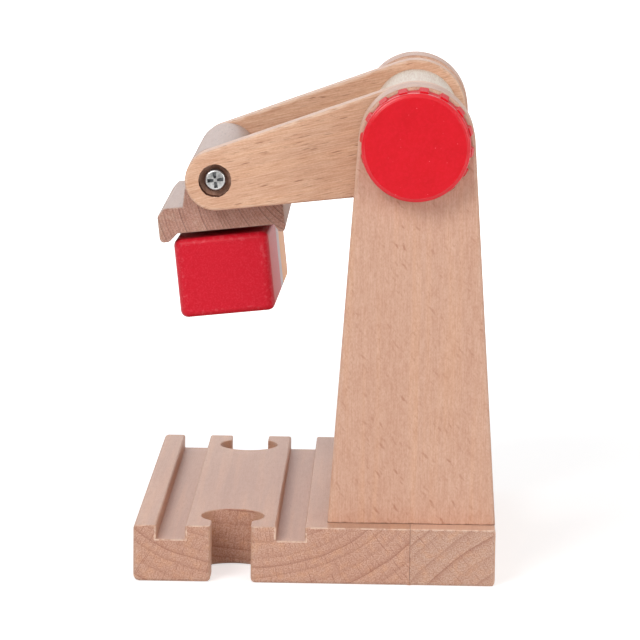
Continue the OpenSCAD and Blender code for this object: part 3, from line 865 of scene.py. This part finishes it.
# %% Sizes of the base and its cutters
GROOVE_PITCH = 25 * mm
GROOVE_WIDTH = 6 * mm
GROOVE_DEPTH = 3 * mm
SOCKET_RADIUS = 6.6 * mm
NECK_WIDTH = 8.4 * mm
track_low, track_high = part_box("track_board")
sockets = [mount for mount in frame["record"]["mounts"] if mount["kind"] == "bore"]
track_x = sockets[0]["pos_m"][0]


def track_section():
    points = [(track_low.x, track_low.z), (track_high.x, track_low.z), (track_high.x, track_high.z)]
    floor_z = track_high.z - GROOVE_DEPTH
    for middle in (track_x + GROOVE_PITCH / 2, track_x - GROOVE_PITCH / 2):
        right = middle + GROOVE_WIDTH / 2
        left = middle - GROOVE_WIDTH / 2
        points += [(right, track_high.z), (right, floor_z), (left, floor_z), (left, track_high.z)]
    return points + [(track_low.x, track_high.z)]


def box_shape(low, high):
    def maker(bm):
        bmesh.ops.create_cube(bm, size=1)
        size = Vector(high) - Vector(low)
        for vert in bm.verts:
            vert.co = Vector(low) + Vector((vert.co[i] + 0.5) * size[i] for i in range(3))

    return maker


def socket_cutters(mount):
    x, y, _ = mount["pos_m"]
    outside = math.copysign(track_high.y + mm, y)
    neck = sorted((y, outside))
    return [rod(SOCKET_RADIUS, Vector((x, y, 0)), UP, -mm, track_high.z + mm),
            box_shape((x - NECK_WIDTH / 2, neck[0], -mm),
                      (x + NECK_WIDTH / 2, neck[1], track_high.z + mm))]


def near(value, target, within=0.05 * mm):
    return abs(value - target) < within


# %% Screw holes under the boards
PANEL_HEAD_SUNK = 0.4 * mm
PANEL_HEAD_HEIGHT = 2 * mm
SCREW_SLACK = 0.05 * mm
panel_screw_spots = []
for screws in ("front_panel_screws", "rear_panel_screws"):
    low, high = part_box(screws)
    panel_head_radius = (high.y - low.y) / 2
    screw_y = (low.y + high.y) / 2
    panel_screw_spots += [(low.x + panel_head_radius, screw_y), (high.x - panel_head_radius, screw_y)]


def countersinks(board_low, board_high):
    """A hole for each screw that comes up through this board, with a cone for its head."""
    wide = panel_head_radius + SCREW_SLACK
    shank_radius = panel_head_radius / 2
    narrow = shank_radius + SCREW_SLACK
    cone_start = PANEL_HEAD_SUNK + SCREW_SLACK
    above = board_high.z + mm
    profile = [(0, -mm), (wide, -mm), (wide, cone_start), (narrow, cone_start + PANEL_HEAD_HEIGHT),
               (narrow, above), (0, above)]
    return [turned(profile, Vector((x, y, 0)), UP, 48) for x, y in panel_screw_spots
            if board_low.x < x < board_high.x]


def on_screw_hole(middle):
    return any(math.hypot(middle.x - x, middle.y - y) < panel_head_radius + 0.2 * mm
               for x, y in panel_screw_spots)


for x, y in panel_screw_spots:
    print(f"a screw comes up through the boards at {x / mm:.1f}, {y / mm:.1f} mm")

# %% Track board
# How far sanding has rounded each kind of edge, and how wide the pale strips are: worn wood, and a painted
# highlight.
GLUED_EDGE = 0.06 * mm
FINE_EDGE = 0.24 * mm
GROOVE_CORNER_EDGE = 0.45 * mm
GROOVE_EDGE = 0.5 * mm
LONG_TOP_EDGE = 0.9 * mm
UNDER_EDGE = 0.9 * mm
CORNER_EDGE = 1.0 * mm
LONG_UNDER_EDGE = 1.3 * mm
GLUED_STRIP = 0.2 * mm
WEAR_AND_HIGHLIGHT_STRIP = 0.35 * mm
WEAR_AND_HIGHLIGHT_DROP = 0.4 * mm


def on_socket_rim(middle):
    for mount in sockets:
        x, y, _ = mount["pos_m"]
        if math.hypot(middle.x - x, middle.y - y) < SOCKET_RADIUS + 0.1 * mm:
            return True
    in_neck = abs(middle.x - track_x) < NECK_WIDTH / 2 + 0.1 * mm
    return in_neck and abs(middle.y) > abs(sockets[0]["pos_m"][1])


def base_radius(middle, direction):
    """How far sanding has rounded each edge of the base."""
    if on_screw_hole(middle):
        return 0.0
    upright_edge = abs(direction.z) > 0.9
    if on_socket_rim(middle) and not upright_edge:
        return FINE_EDGE if middle.z > mm else UNDER_EDGE
    if near(middle.x, track_high.x):
        return GLUED_EDGE
    if near(abs(middle.y), track_high.y) and upright_edge:
        return CORNER_EDGE if middle.z < track_high.z - GROOVE_DEPTH else GROOVE_CORNER_EDGE
    if abs(direction.y) > 0.9 and middle.z < mm:
        return LONG_UNDER_EDGE
    if abs(direction.y) > 0.9:
        return LONG_TOP_EDGE if near(middle.x, track_low.x) else GROOVE_EDGE
    return UNDER_EDGE if middle.z < mm else FINE_EDGE


def base_wear_and_highlight(spot):
    """Pale along the top edges of both ends, and a little everywhere else: worn wood and a painted
    highlight.
    """
    if spot.x > track_high.x - GLUED_STRIP and spot.z < track_high.z - WEAR_AND_HIGHLIGHT_DROP:
        return 0.0
    at_end = abs(spot.y) > track_high.y - WEAR_AND_HIGHLIGHT_STRIP
    return 1.0 if at_end and spot.z > track_high.z - GROOVE_DEPTH - WEAR_AND_HIGHLIGHT_DROP else 0.12


track_shape = slab(track_section(), track_low.y, track_high.y)
track_board = new_piece("beech_track_board", track_shape, [track_beech])
track_cutters = [cutter for mount in sockets for cutter in socket_cutters(mount)]
carve(track_board, track_cutters + countersinks(track_low, track_high))
round_edges(track_board, base_radius, wear_and_highlight_at=base_wear_and_highlight)
place(track_board, "base", "track_beech", "track_board")

# %% [markdown]
# ## The side board
#
# The narrower board is glued on with its rings the other way up, which keeps the pair flat. It could
# be part of the track board's mesh, but then the grain would run on across the joint. As its own
# piece it has its own place in the tree, and an almost sharp edge where the two are glued.

# %% Side board
SIDE_UNDER_EDGE = 0.7 * mm
side_low, side_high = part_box("side_board")


def side_radius(middle, direction):
    if on_screw_hole(middle):
        return 0.0
    if near(middle.x, side_low.x):
        return GLUED_EDGE
    if near(middle.x, side_high.x):
        return LONG_UNDER_EDGE if middle.z < mm else LONG_TOP_EDGE
    return FINE_EDGE if middle.z > mm else SIDE_UNDER_EDGE


# The side board's edges are painted pale the same way: worn wood, and a painted highlight.
def side_wear_and_highlight(spot):
    if near(spot.x, side_low.x, GLUED_STRIP) and spot.z < side_high.z - WEAR_AND_HIGHLIGHT_DROP:
        return 0.0
    at_end = abs(spot.y) > side_high.y - WEAR_AND_HIGHLIGHT_STRIP
    return 1.0 if at_end and spot.z > side_high.z - WEAR_AND_HIGHLIGHT_DROP else 0.2


side_board = new_piece("beech_side_board", box_shape(side_low, side_high), [side_beech])
carve(side_board, countersinks(side_low, side_high))
round_edges(side_board, side_radius, wear_and_highlight_at=side_wear_and_highlight)
place(side_board, "base", "side_beech", "side_board")

# %% [markdown]
# ## The uprights
#
# Each upright is a tapered board whose top is a half round about the axle. A disc and a wedge could be
# joined, but one outline has no seam to hide. Its straight edges run from the corners of the foot
# until they just touch the round, so there is no kink where they meet.

# %% Uprights
axle_low, axle_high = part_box("drive_axle")
AXLE_RADIUS = (axle_high.x - axle_low.x) / 2
AXLE_SLACK = 0.08 * mm
AXLE_BORE_EDGE = 0.2 * mm
FOOT_EDGE = 0.15 * mm
FOOT_SWELL = 0.7
UPRIGHT_EDGE = 0.8 * mm


def touch_angle(point, radius, side):
    """Direction, in degrees, from a circle at the origin to where a line from point touches it."""
    facing = math.atan2(point[1], point[0])
    return math.degrees(facing + side * math.acos(radius / math.hypot(*point)))


def upright(name, node, swell):
    """swell is how much wider than round the head is, because these heads are sanded by hand. The
    left corner of the foot goes out by the share FOOT_SWELL of it."""
    low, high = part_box(node)
    top_radius = high.z - hub.z
    stretch = 1 + swell / top_radius
    left = ((low.x - hub.x - swell * FOOT_SWELL) / stretch, low.z - hub.z)
    right = ((high.x - hub.x) / stretch, low.z - hub.z)
    start = touch_angle(right, top_radius, 1)
    end = touch_angle(left, top_radius, -1) + 360
    top = arc((0, 0), top_radius, start, end, 48)
    outline = [(x * stretch + hub.x, z + hub.z) for x, z in [left, right, *top]]
    piece = new_piece(name, slab(outline, low.y, high.y), [panel_beech])
    carve(piece, [rod(AXLE_RADIUS + AXLE_SLACK, hub, Y_AXIS, low.y - mm, high.y + mm)])

    def radius_of(middle, direction):
        if middle.z < low.z + 0.01 * mm:
            return FOOT_EDGE
        if (Vector((middle.x, 0, middle.z)) - hub).length < AXLE_RADIUS + mm:
            return AXLE_BORE_EDGE
        return UPRIGHT_EDGE

    round_edges(piece, radius_of)
    place(piece, "base", "panel_beech", node)


upright("beech_front_upright", "front_panel", 0.3 * mm)
upright("beech_rear_upright", "rear_panel", 0)

# %% [markdown]
# ## The arms
#
# An arm is wide at the axle and narrow at the pivot, with both ends round. The hole for the pivot
# screw is drilled twice: a narrow hole right through, and a wide one that hides the screw's head. Both
# could be drawn as discs of a dark colour, but then they would have no depth from the side. Cutting
# them also lets the walls have their own material: the drill scorches the wood, and the walls are
# painted darker for the shade inside the hole as well.

# %% Arms
COUNTERBORE_RADIUS = 3.45 * mm
COUNTERBORE_DEPTH = 3 * mm
PIVOT_HOLE_RADIUS = 1.56 * mm
DRILLED_EDGE = 0.03 * mm
ARM_EDGE = 0.55 * mm
RIM_TEAR = 0.05 * mm


def ragged(angle):
    """The drill has torn the hole's rim a little, more across the grain than along it."""
    tear = math.sin(7 * angle + 0.6) + 0.7 * math.sin(17 * angle + 2) + 0.5 * math.sin(29 * angle)
    return RIM_TEAR * tear * (0.6 + 0.4 * math.cos(2 * angle))


def arm(name, node, outward, tip_trim):
    """outward is -1 for the front arm and 1 for the rear one: the side that the screw's head is on.
    tip_trim is how much smaller sanding has left the end at the pivot."""
    low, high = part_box(node)
    hub_radius = high.x - hub.x
    tip_radius = pivot.x - low.x - tip_trim
    heading = math.degrees(math.atan2(pivot.z - hub.z, pivot.x - hub.x))
    reach = math.hypot(pivot.x - hub.x, pivot.z - hub.z)
    spread = math.degrees(math.acos((hub_radius - tip_radius) / reach))
    outline = arc((hub.x, hub.z), hub_radius, heading + spread, heading + 360 - spread, 56)
    outline += arc((pivot.x, pivot.z), tip_radius, heading - spread, heading + spread, 40)
    piece = new_piece(name, slab(outline, low.y, high.y), [arm_beech, scorched_and_shaded_hole])
    face_y = low.y if outward < 0 else high.y
    floor_y = face_y - outward * COUNTERBORE_DEPTH
    carve(piece, [rod(AXLE_RADIUS, hub, Y_AXIS, low.y - mm, high.y + mm)])
    bore = sorted((floor_y, face_y + outward * mm))
    narrow = rod(PIVOT_HOLE_RADIUS, pivot, Y_AXIS, low.y - mm, high.y + mm)
    wide = rod(COUNTERBORE_RADIUS, pivot, Y_AXIS, *bore, 96, ragged)
    carve(piece, [narrow, wide], 1)

    def radius_of(middle, direction):
        flat = Vector((middle.x, 0, middle.z))
        if (flat - pivot).length < COUNTERBORE_RADIUS + 0.2 * mm:
            return DRILLED_EDGE
        if (flat - hub).length < AXLE_RADIUS + 0.1 * mm:
            return AXLE_BORE_EDGE
        return ARM_EDGE

    # All the arm's edges are painted pale: worn wood, and a painted highlight along the top.
    round_edges(piece, radius_of, wear_and_highlight_at=lambda spot: 0.6)
    place(piece, "arms", "arm_beech", node)


arm("beech_front_arm", "front_arm", -1, 0)
arm("beech_rear_arm", "rear_arm", 1, 0.25 * mm)

# %% [markdown]
# ## The roller
#
# The roller is a length of pale dowel that keeps the arms apart and turns with them. A cylinder with
# a bevel would do, but a profile swept round the axle gives the eased corners and the open bore at once,
# as a lathe does.

# %% Roller
roller_low, roller_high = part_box("hub_roller")
roller_radius = (roller_high.x - roller_low.x) / 2
ROLLER_EDGE = 0.4 * mm


def rounded_corner(radius, height, edge, steps=5):
    """Profile points round a top corner: from the side of a turned piece in to its end face."""
    points = []
    for step in range(steps + 1):
        angle = math.pi / 2 * step / steps
        points.append((radius - edge + edge * math.cos(angle), height - edge + edge * math.sin(angle)))
    return points


half = (roller_high.y - roller_low.y) / 2
top_corner = rounded_corner(roller_radius, half, ROLLER_EDGE)
bottom_corner = [(r, -h) for r, h in reversed(top_corner)]
bore_wall = [(AXLE_RADIUS, half), (AXLE_RADIUS, -half)]
roller_profile = [(AXLE_RADIUS, -half), *bottom_corner, *top_corner, *bore_wall]
roller = new_piece("beech_roller", turned(roller_profile, hub, steps=96), [roller_beech])
smooth(roller)
place(roller, "arms", "roller_beech", "hub_roller")

# %% [markdown]
# ## The knobs
#
# A knob is moulded in red plastic: a wheel with sixteen square teeth for the fingers, a little wider
# at the back so that it leaves its mould, and a smooth round cap pressed on in front. The teeth are
# made by letting the radius of a lathe profile rise and fall round the turn. The cap is its own piece,
# with a fine lip round its flat face and a slope outside the lip. The lip is what catches the light as
# a thin bright ring.

# %% Knobs
KNOB_TEETH = 16
TOOTH_WIDTH = 2.0 * mm
TOOTH_DEPTH = 0.65 * mm
KNOB_DRAFT = {"front": 0.5 * mm, "rear": 0.05 * mm}
TOOTH_TURN = math.radians(6.7)
TOOTH_FLANK = math.radians(0.7)
TOOTH_SAMPLES = 18
KNOB_TIP_RADIUS = 11.3 * mm
WHEEL_BACK_CHAMFER = 0.2 * mm
WHEEL_FRONT_EDGE = 0.12 * mm
CAP_ROUND = 0.6 * mm
CAP_ROUND_DROP = 0.85 * mm
CAP_RING_RADIUS = 10.5 * mm
CAP_DISH = 0.04 * mm
# Profile points in millimetres: the cap's foot from its own radius and the wheel's front, and the lip
# with its slope from the ring's radius and the cap's face.
CAP_FOOT = ((-0.6, -0.3), (-0.2, 0), (0, 0.15))
CAP_LIP = ((0.22, -0.26), (0.15, -0.21), (-0.02, -0.04), (-0.10, 0), (-0.22, 0))


def tooth_height(angle):
    """How far the knob's edge stands out at this angle from the top."""
    pitch = 2 * math.pi / KNOB_TEETH
    from_tooth = (angle + TOOTH_TURN + pitch / 2) % pitch - pitch / 2
    half_tooth = TOOTH_WIDTH / 2 / KNOB_TIP_RADIUS
    share = (half_tooth + TOOTH_FLANK - abs(from_tooth)) / (2 * TOOTH_FLANK)
    return TOOTH_DEPTH * min(1.0, max(0.0, share))


def knob(side_name, outward):
    low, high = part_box(f"{side_name}_knob")
    cap_low, cap_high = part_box(f"{side_name}_knob_cap")
    axis = outward * Y_AXIS
    back = min(abs(low.y), abs(high.y))
    front = max(abs(low.y), abs(high.y))
    valley = KNOB_TIP_RADIUS - TOOTH_DEPTH
    draft = KNOB_DRAFT[side_name]
    wheel_profile = [(AXLE_RADIUS, back), (valley + draft - WHEEL_BACK_CHAMFER, back),
                     (valley + draft, back + WHEEL_BACK_CHAMFER)]
    wheel_profile += rounded_corner(valley, front, WHEEL_FRONT_EDGE, 3)
    wheel_profile += [(AXLE_RADIUS, front), (AXLE_RADIUS, back)]
    wheel_shape = turned(wheel_profile, hub, axis, KNOB_TEETH * TOOTH_SAMPLES, tooth_height)
    wheel = new_piece(f"{side_name}_knob_wheel", wheel_shape, [grip_red])
    smooth(wheel)
    place(wheel, "arms", "knob_plastic", f"{side_name}_knob")
    cap_radius = (cap_high.x - cap_low.x) / 2
    face = max(abs(cap_low.y), abs(cap_high.y))
    cap_centre = Vector(((cap_low.x + cap_high.x) / 2, 0, (cap_low.z + cap_high.z) / 2))
    cap_profile = [(0, front + CAP_FOOT[0][1] * mm)]
    cap_profile += [(cap_radius + out * mm, front + up * mm) for out, up in CAP_FOOT]
    cap_profile += arc((cap_radius - CAP_ROUND, face - CAP_ROUND_DROP), CAP_ROUND, 0, 66, 8)
    cap_profile += [(CAP_RING_RADIUS + out * mm, face + up * mm) for out, up in CAP_LIP]
    cap_profile += [(CAP_RING_RADIUS - 0.40 * mm, face - CAP_DISH), (0, face - CAP_DISH)]
    cap = new_piece(f"{side_name}_knob_face", turned(cap_profile, cap_centre, axis, 160), [knob_red])
    smooth(cap)
    place(cap, "arms", "knob_plastic", f"{side_name}_knob_cap")


knob("front", -1)
knob("rear", 1)

# %% [markdown]
# ## The carrier
#
# The bar that hangs between the arms is cut from one strip of darker wood. Its section has a round
# hump that the pivot screws enter, two bevelled shoulders, and a small lip along each lower edge
# that keeps the load from slewing. It could be put together from boxes and a cylinder, but it was
# planed from one strip, so one section is drawn and pushed along it. The grain runs along the bar, so
# its sawn ends face the arms, and there the closely set rings show as steep lines.

# %% Carrier
# The section in millimetres, drawn upright and with the pivot at its zero.
HUMP_RADIUS = 6.4
HUMP_FOOT = 7.9
SHOULDER_Z = 5.65
CARRIER_WIDTH = 26.9
SHOULDER_BEVEL = 1.6
CARRIER_THICK = 5.6
LIP_HEIGHT = 1.65
LIP_WIDTHS = {-1: 2.0, 1: 1.4}
LIP_SLANTS = {-1: 1.9, 1: 1.0}
# The rounding of a lip: how far out and how far up each point is from the lip's outer and inner corner.
LIP_OUTER_ROUND = ((0, 0.9), (-0.2, 0.3), (-0.6, 0))
LIP_INNER_ROUND = ((0.3, 0), (-0.15, 0.15))
MAGNET_POCKET_RADIUS = 7.2
MAGNET_POCKET_DEPTH = 2.8
CARRIER_END_EDGE = 0.35 * mm
CARRIER_LONG_EDGE = 0.3 * mm
carrier_low, carrier_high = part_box("carrier")
lean = Matrix.Rotation(-tilt, 3, "Y")


def leaning(x, z):
    """A point of the carrier's section, in millimetres from the pivot, turned by the carrier's lean."""
    turned_point = lean @ Vector((x, 0, z)) * mm
    return (pivot.x + turned_point.x, pivot.z + turned_point.z)


def carrier_side(side):
    """One side of the section, from the foot of the hump to the underside. side is -1 or 1."""
    half_width = CARRIER_WIDTH / 2
    under = SHOULDER_Z + CARRIER_THICK
    bottom = under + LIP_HEIGHT
    lip = LIP_WIDTHS[side]
    points = [(HUMP_FOOT, -SHOULDER_Z), (half_width - SHOULDER_BEVEL, -SHOULDER_Z),
              (half_width, -SHOULDER_Z - SHOULDER_BEVEL)]
    points += [(half_width + out, up - bottom) for out, up in LIP_OUTER_ROUND]
    points += [(half_width - lip + out, up - bottom) for out, up in LIP_INNER_ROUND]
    points.append((half_width - lip - LIP_SLANTS[side], -under))
    return [(side * x, z) for x, z in points]


def carrier_section():
    foot_angle = math.degrees(math.atan2(SHOULDER_Z, HUMP_FOOT))
    touch = math.degrees(math.acos(HUMP_RADIUS / math.hypot(HUMP_FOOT, SHOULDER_Z))) - foot_angle
    hump = arc((0, 0), HUMP_RADIUS, touch, 180 - touch, 40)
    return [leaning(x, z) for x, z in hump + carrier_side(-1) + carrier_side(1)[::-1]]


def carrier_radius(middle, direction):
    return CARRIER_END_EDGE if abs(direction.y) < 0.5 else CARRIER_LONG_EDGE


carrier_shape = slab(carrier_section(), carrier_low.y, carrier_high.y)
carrier = new_piece("beech_carrier", carrier_shape, [carrier_beech])
pocket_top = (SHOULDER_Z + CARRIER_THICK - MAGNET_POCKET_DEPTH) * mm
pocket_mouth = (SHOULDER_Z + CARRIER_THICK + 1) * mm
carve(carrier, [rod(MAGNET_POCKET_RADIUS * mm, pivot, down, pocket_top, pocket_mouth)])
round_edges(carrier, carrier_radius)
place(carrier, "carrier", "carrier_beech", "carrier")


# %% [markdown]
# ## The pivot screws
#
# The carrier hangs on two pan-head screws with a cross recess. The head is a turned profile. Its
# recess is cut by four wedges that stop short of the middle, because the tip of a real driver's seat
# is a small point. The cut faces get a darker zinc, as no light reaches the bottom of so small a cross.

# %% Pivot screws
SCREW_SHANK_RADIUS = 1.5 * mm
SCREW_HEAD_HEIGHT = 1.6 * mm
HEAD_SWELL = 0.2 * mm
# Shares of a pan head: how much of its radius is flat, and how much of its height is wall and dome.
PAN_FLAT = 0.72
PAN_WALL = 0.55
PAN_DOME = 0.45
CROSS_INNER = 0.25 * mm
CROSS_OUTER = 1.8 * mm
CROSS_WIDTH = 1.0 * mm
CROSS_DEPTH = 0.7 * mm
CROSS_ABOVE = 0.6 * mm
CROSS_TURN = 0.12
# How wide a pocket of the cross is at its inner and outer end, as shares of its width.
POCKET_MOUTH = (0.6, 1)
POCKET_FLOOR = (0.45, 0.55)


def pan_screw_profile(shank, head, height, length):
    """Half the outline of a pan-head screw, from its point to the middle of its head."""
    flat = head * PAN_FLAT
    shoulder = [(flat + (head - flat) * math.cos(a), height * (PAN_WALL + PAN_DOME * math.sin(a)))
                for a in (math.radians(step * 15) for step in range(7))]
    return [(0, -length), (shank, -length + shank), (shank, 0), (head - 0.1 * mm, 0), (head, 0.1 * mm),
            *shoulder, (0, height)]


def cross_pocket(centre, axis, along):
    """One wedge pocket of the cross. It runs outward along this direction, and is narrower below."""
    thick = axis.cross(along)

    def maker(bm):
        def four(inner, outer, shares, height):
            narrow, wide = shares
            corners = ((inner, -narrow), (outer, -wide), (outer, wide), (inner, narrow))
            return [bm.verts.new(centre + along * a + thick * (b * CROSS_WIDTH / 2) + axis * height)
                    for a, b in corners]

        top = four(CROSS_INNER, CROSS_OUTER, POCKET_MOUTH, CROSS_ABOVE)
        low = four(CROSS_INNER + 0.25 * mm, CROSS_OUTER - 0.3 * mm, POCKET_FLOOR, -CROSS_DEPTH)
        bm.faces.new(top)
        bm.faces.new(low[::-1])
        for i in range(4):
            j = (i + 1) % 4
            bm.faces.new([top[i], top[j], low[j], low[i]])

    return maker


def cross_cutters(centre, axis):
    """Four pockets set in a cross, which leave the tip of the driver's seat in the middle."""
    turns = [Matrix.Rotation(CROSS_TURN + quarter * math.pi / 2, 3, axis) for quarter in range(4)]
    return [cross_pocket(centre, axis, turn @ Vector((1, 0, 0))) for turn in turns]


def pivot_screw(side_name, outward):
    low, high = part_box(f"{side_name}_carrier_screw")
    outer = max(abs(low.y), abs(high.y))
    axis = outward * Y_AXIS
    seat = pivot + axis * (outer - SCREW_HEAD_HEIGHT)
    head_radius = (high.x - low.x) / 2 + HEAD_SWELL
    length = high.y - low.y - SCREW_HEAD_HEIGHT
    profile = pan_screw_profile(SCREW_SHANK_RADIUS, head_radius, SCREW_HEAD_HEIGHT, length)
    screw = new_piece(f"{side_name}_pivot_screw", turned(profile, seat, axis), [zinc, recess_zinc])
    carve(screw, cross_cutters(seat + axis * SCREW_HEAD_HEIGHT, axis), 1)
    smooth(screw)
    place(screw, "carrier", "screw_steel", f"{side_name}_carrier_screw")


pivot_screw("front", -1)
pivot_screw("rear", 1)

# %% [markdown]
# ## The load
#
# The block is a length of square wood, sanded round at every edge and painted. Its paint lies a
# little thinner on the edges, so those faces carry the worn mark that the paint reads, and that mark
# is also a painted highlight along the edges. It is made straight, about its own middle, and then
# leaned and turned into place under the magnet.

# %% Load
CARGO_SIDE_EDGE = 2.0 * mm
CARGO_END_EDGE = 1.5 * mm
CARGO_YAW = math.radians(-1.5)
CARGO_SIZE = Vector((20.3, 49.1, 16.97)) * mm
CARGO_TOP = 12.65 * mm


def cargo_radius(middle, direction):
    return CARGO_SIDE_EDGE if abs(direction.z) > 0.9 else CARGO_END_EDGE


half_size = CARGO_SIZE / 2
cargo = new_piece("painted_block", box_shape(-half_size, half_size), [cargo_red])
round_edges(cargo, cargo_radius, 7, lambda spot: 1.0)
cargo_middle = Matrix.Translation(pivot + down * (CARGO_TOP + half_size.z))
cargo.data.transform(cargo_middle @ lean.to_4x4() @ Matrix.Rotation(CARGO_YAW, 4, "Z"))
place(cargo, "cargo", "cargo_paint", "cargo_block")

# %% [markdown]
# ## The pieces left as they are
#
# The axle, the magnet with its screw, the steel disc with its nail and the hidden screws keep the
# construction model's own shapes, because hardly any of them shows. They could be remade too, but a
# copy would look the same. All they need is a material.

# %% Materials for the rest
REST = {
    "drive_axle": roller_beech, "lifting_magnet": nickel, "magnet_screw": zinc,
    "cargo_plate": rolled_steel, "cargo_plate_nail": zinc,
    "front_panel_screws": zinc, "rear_panel_screws": zinc,
    "front_knob_screw": zinc, "rear_knob_screw": zinc,
}

for name, material in REST.items():
    node = frame["nodes"][name]
    node.data.materials.clear()
    node.data.materials.append(material)
    print(f"{name}: {material.name}")
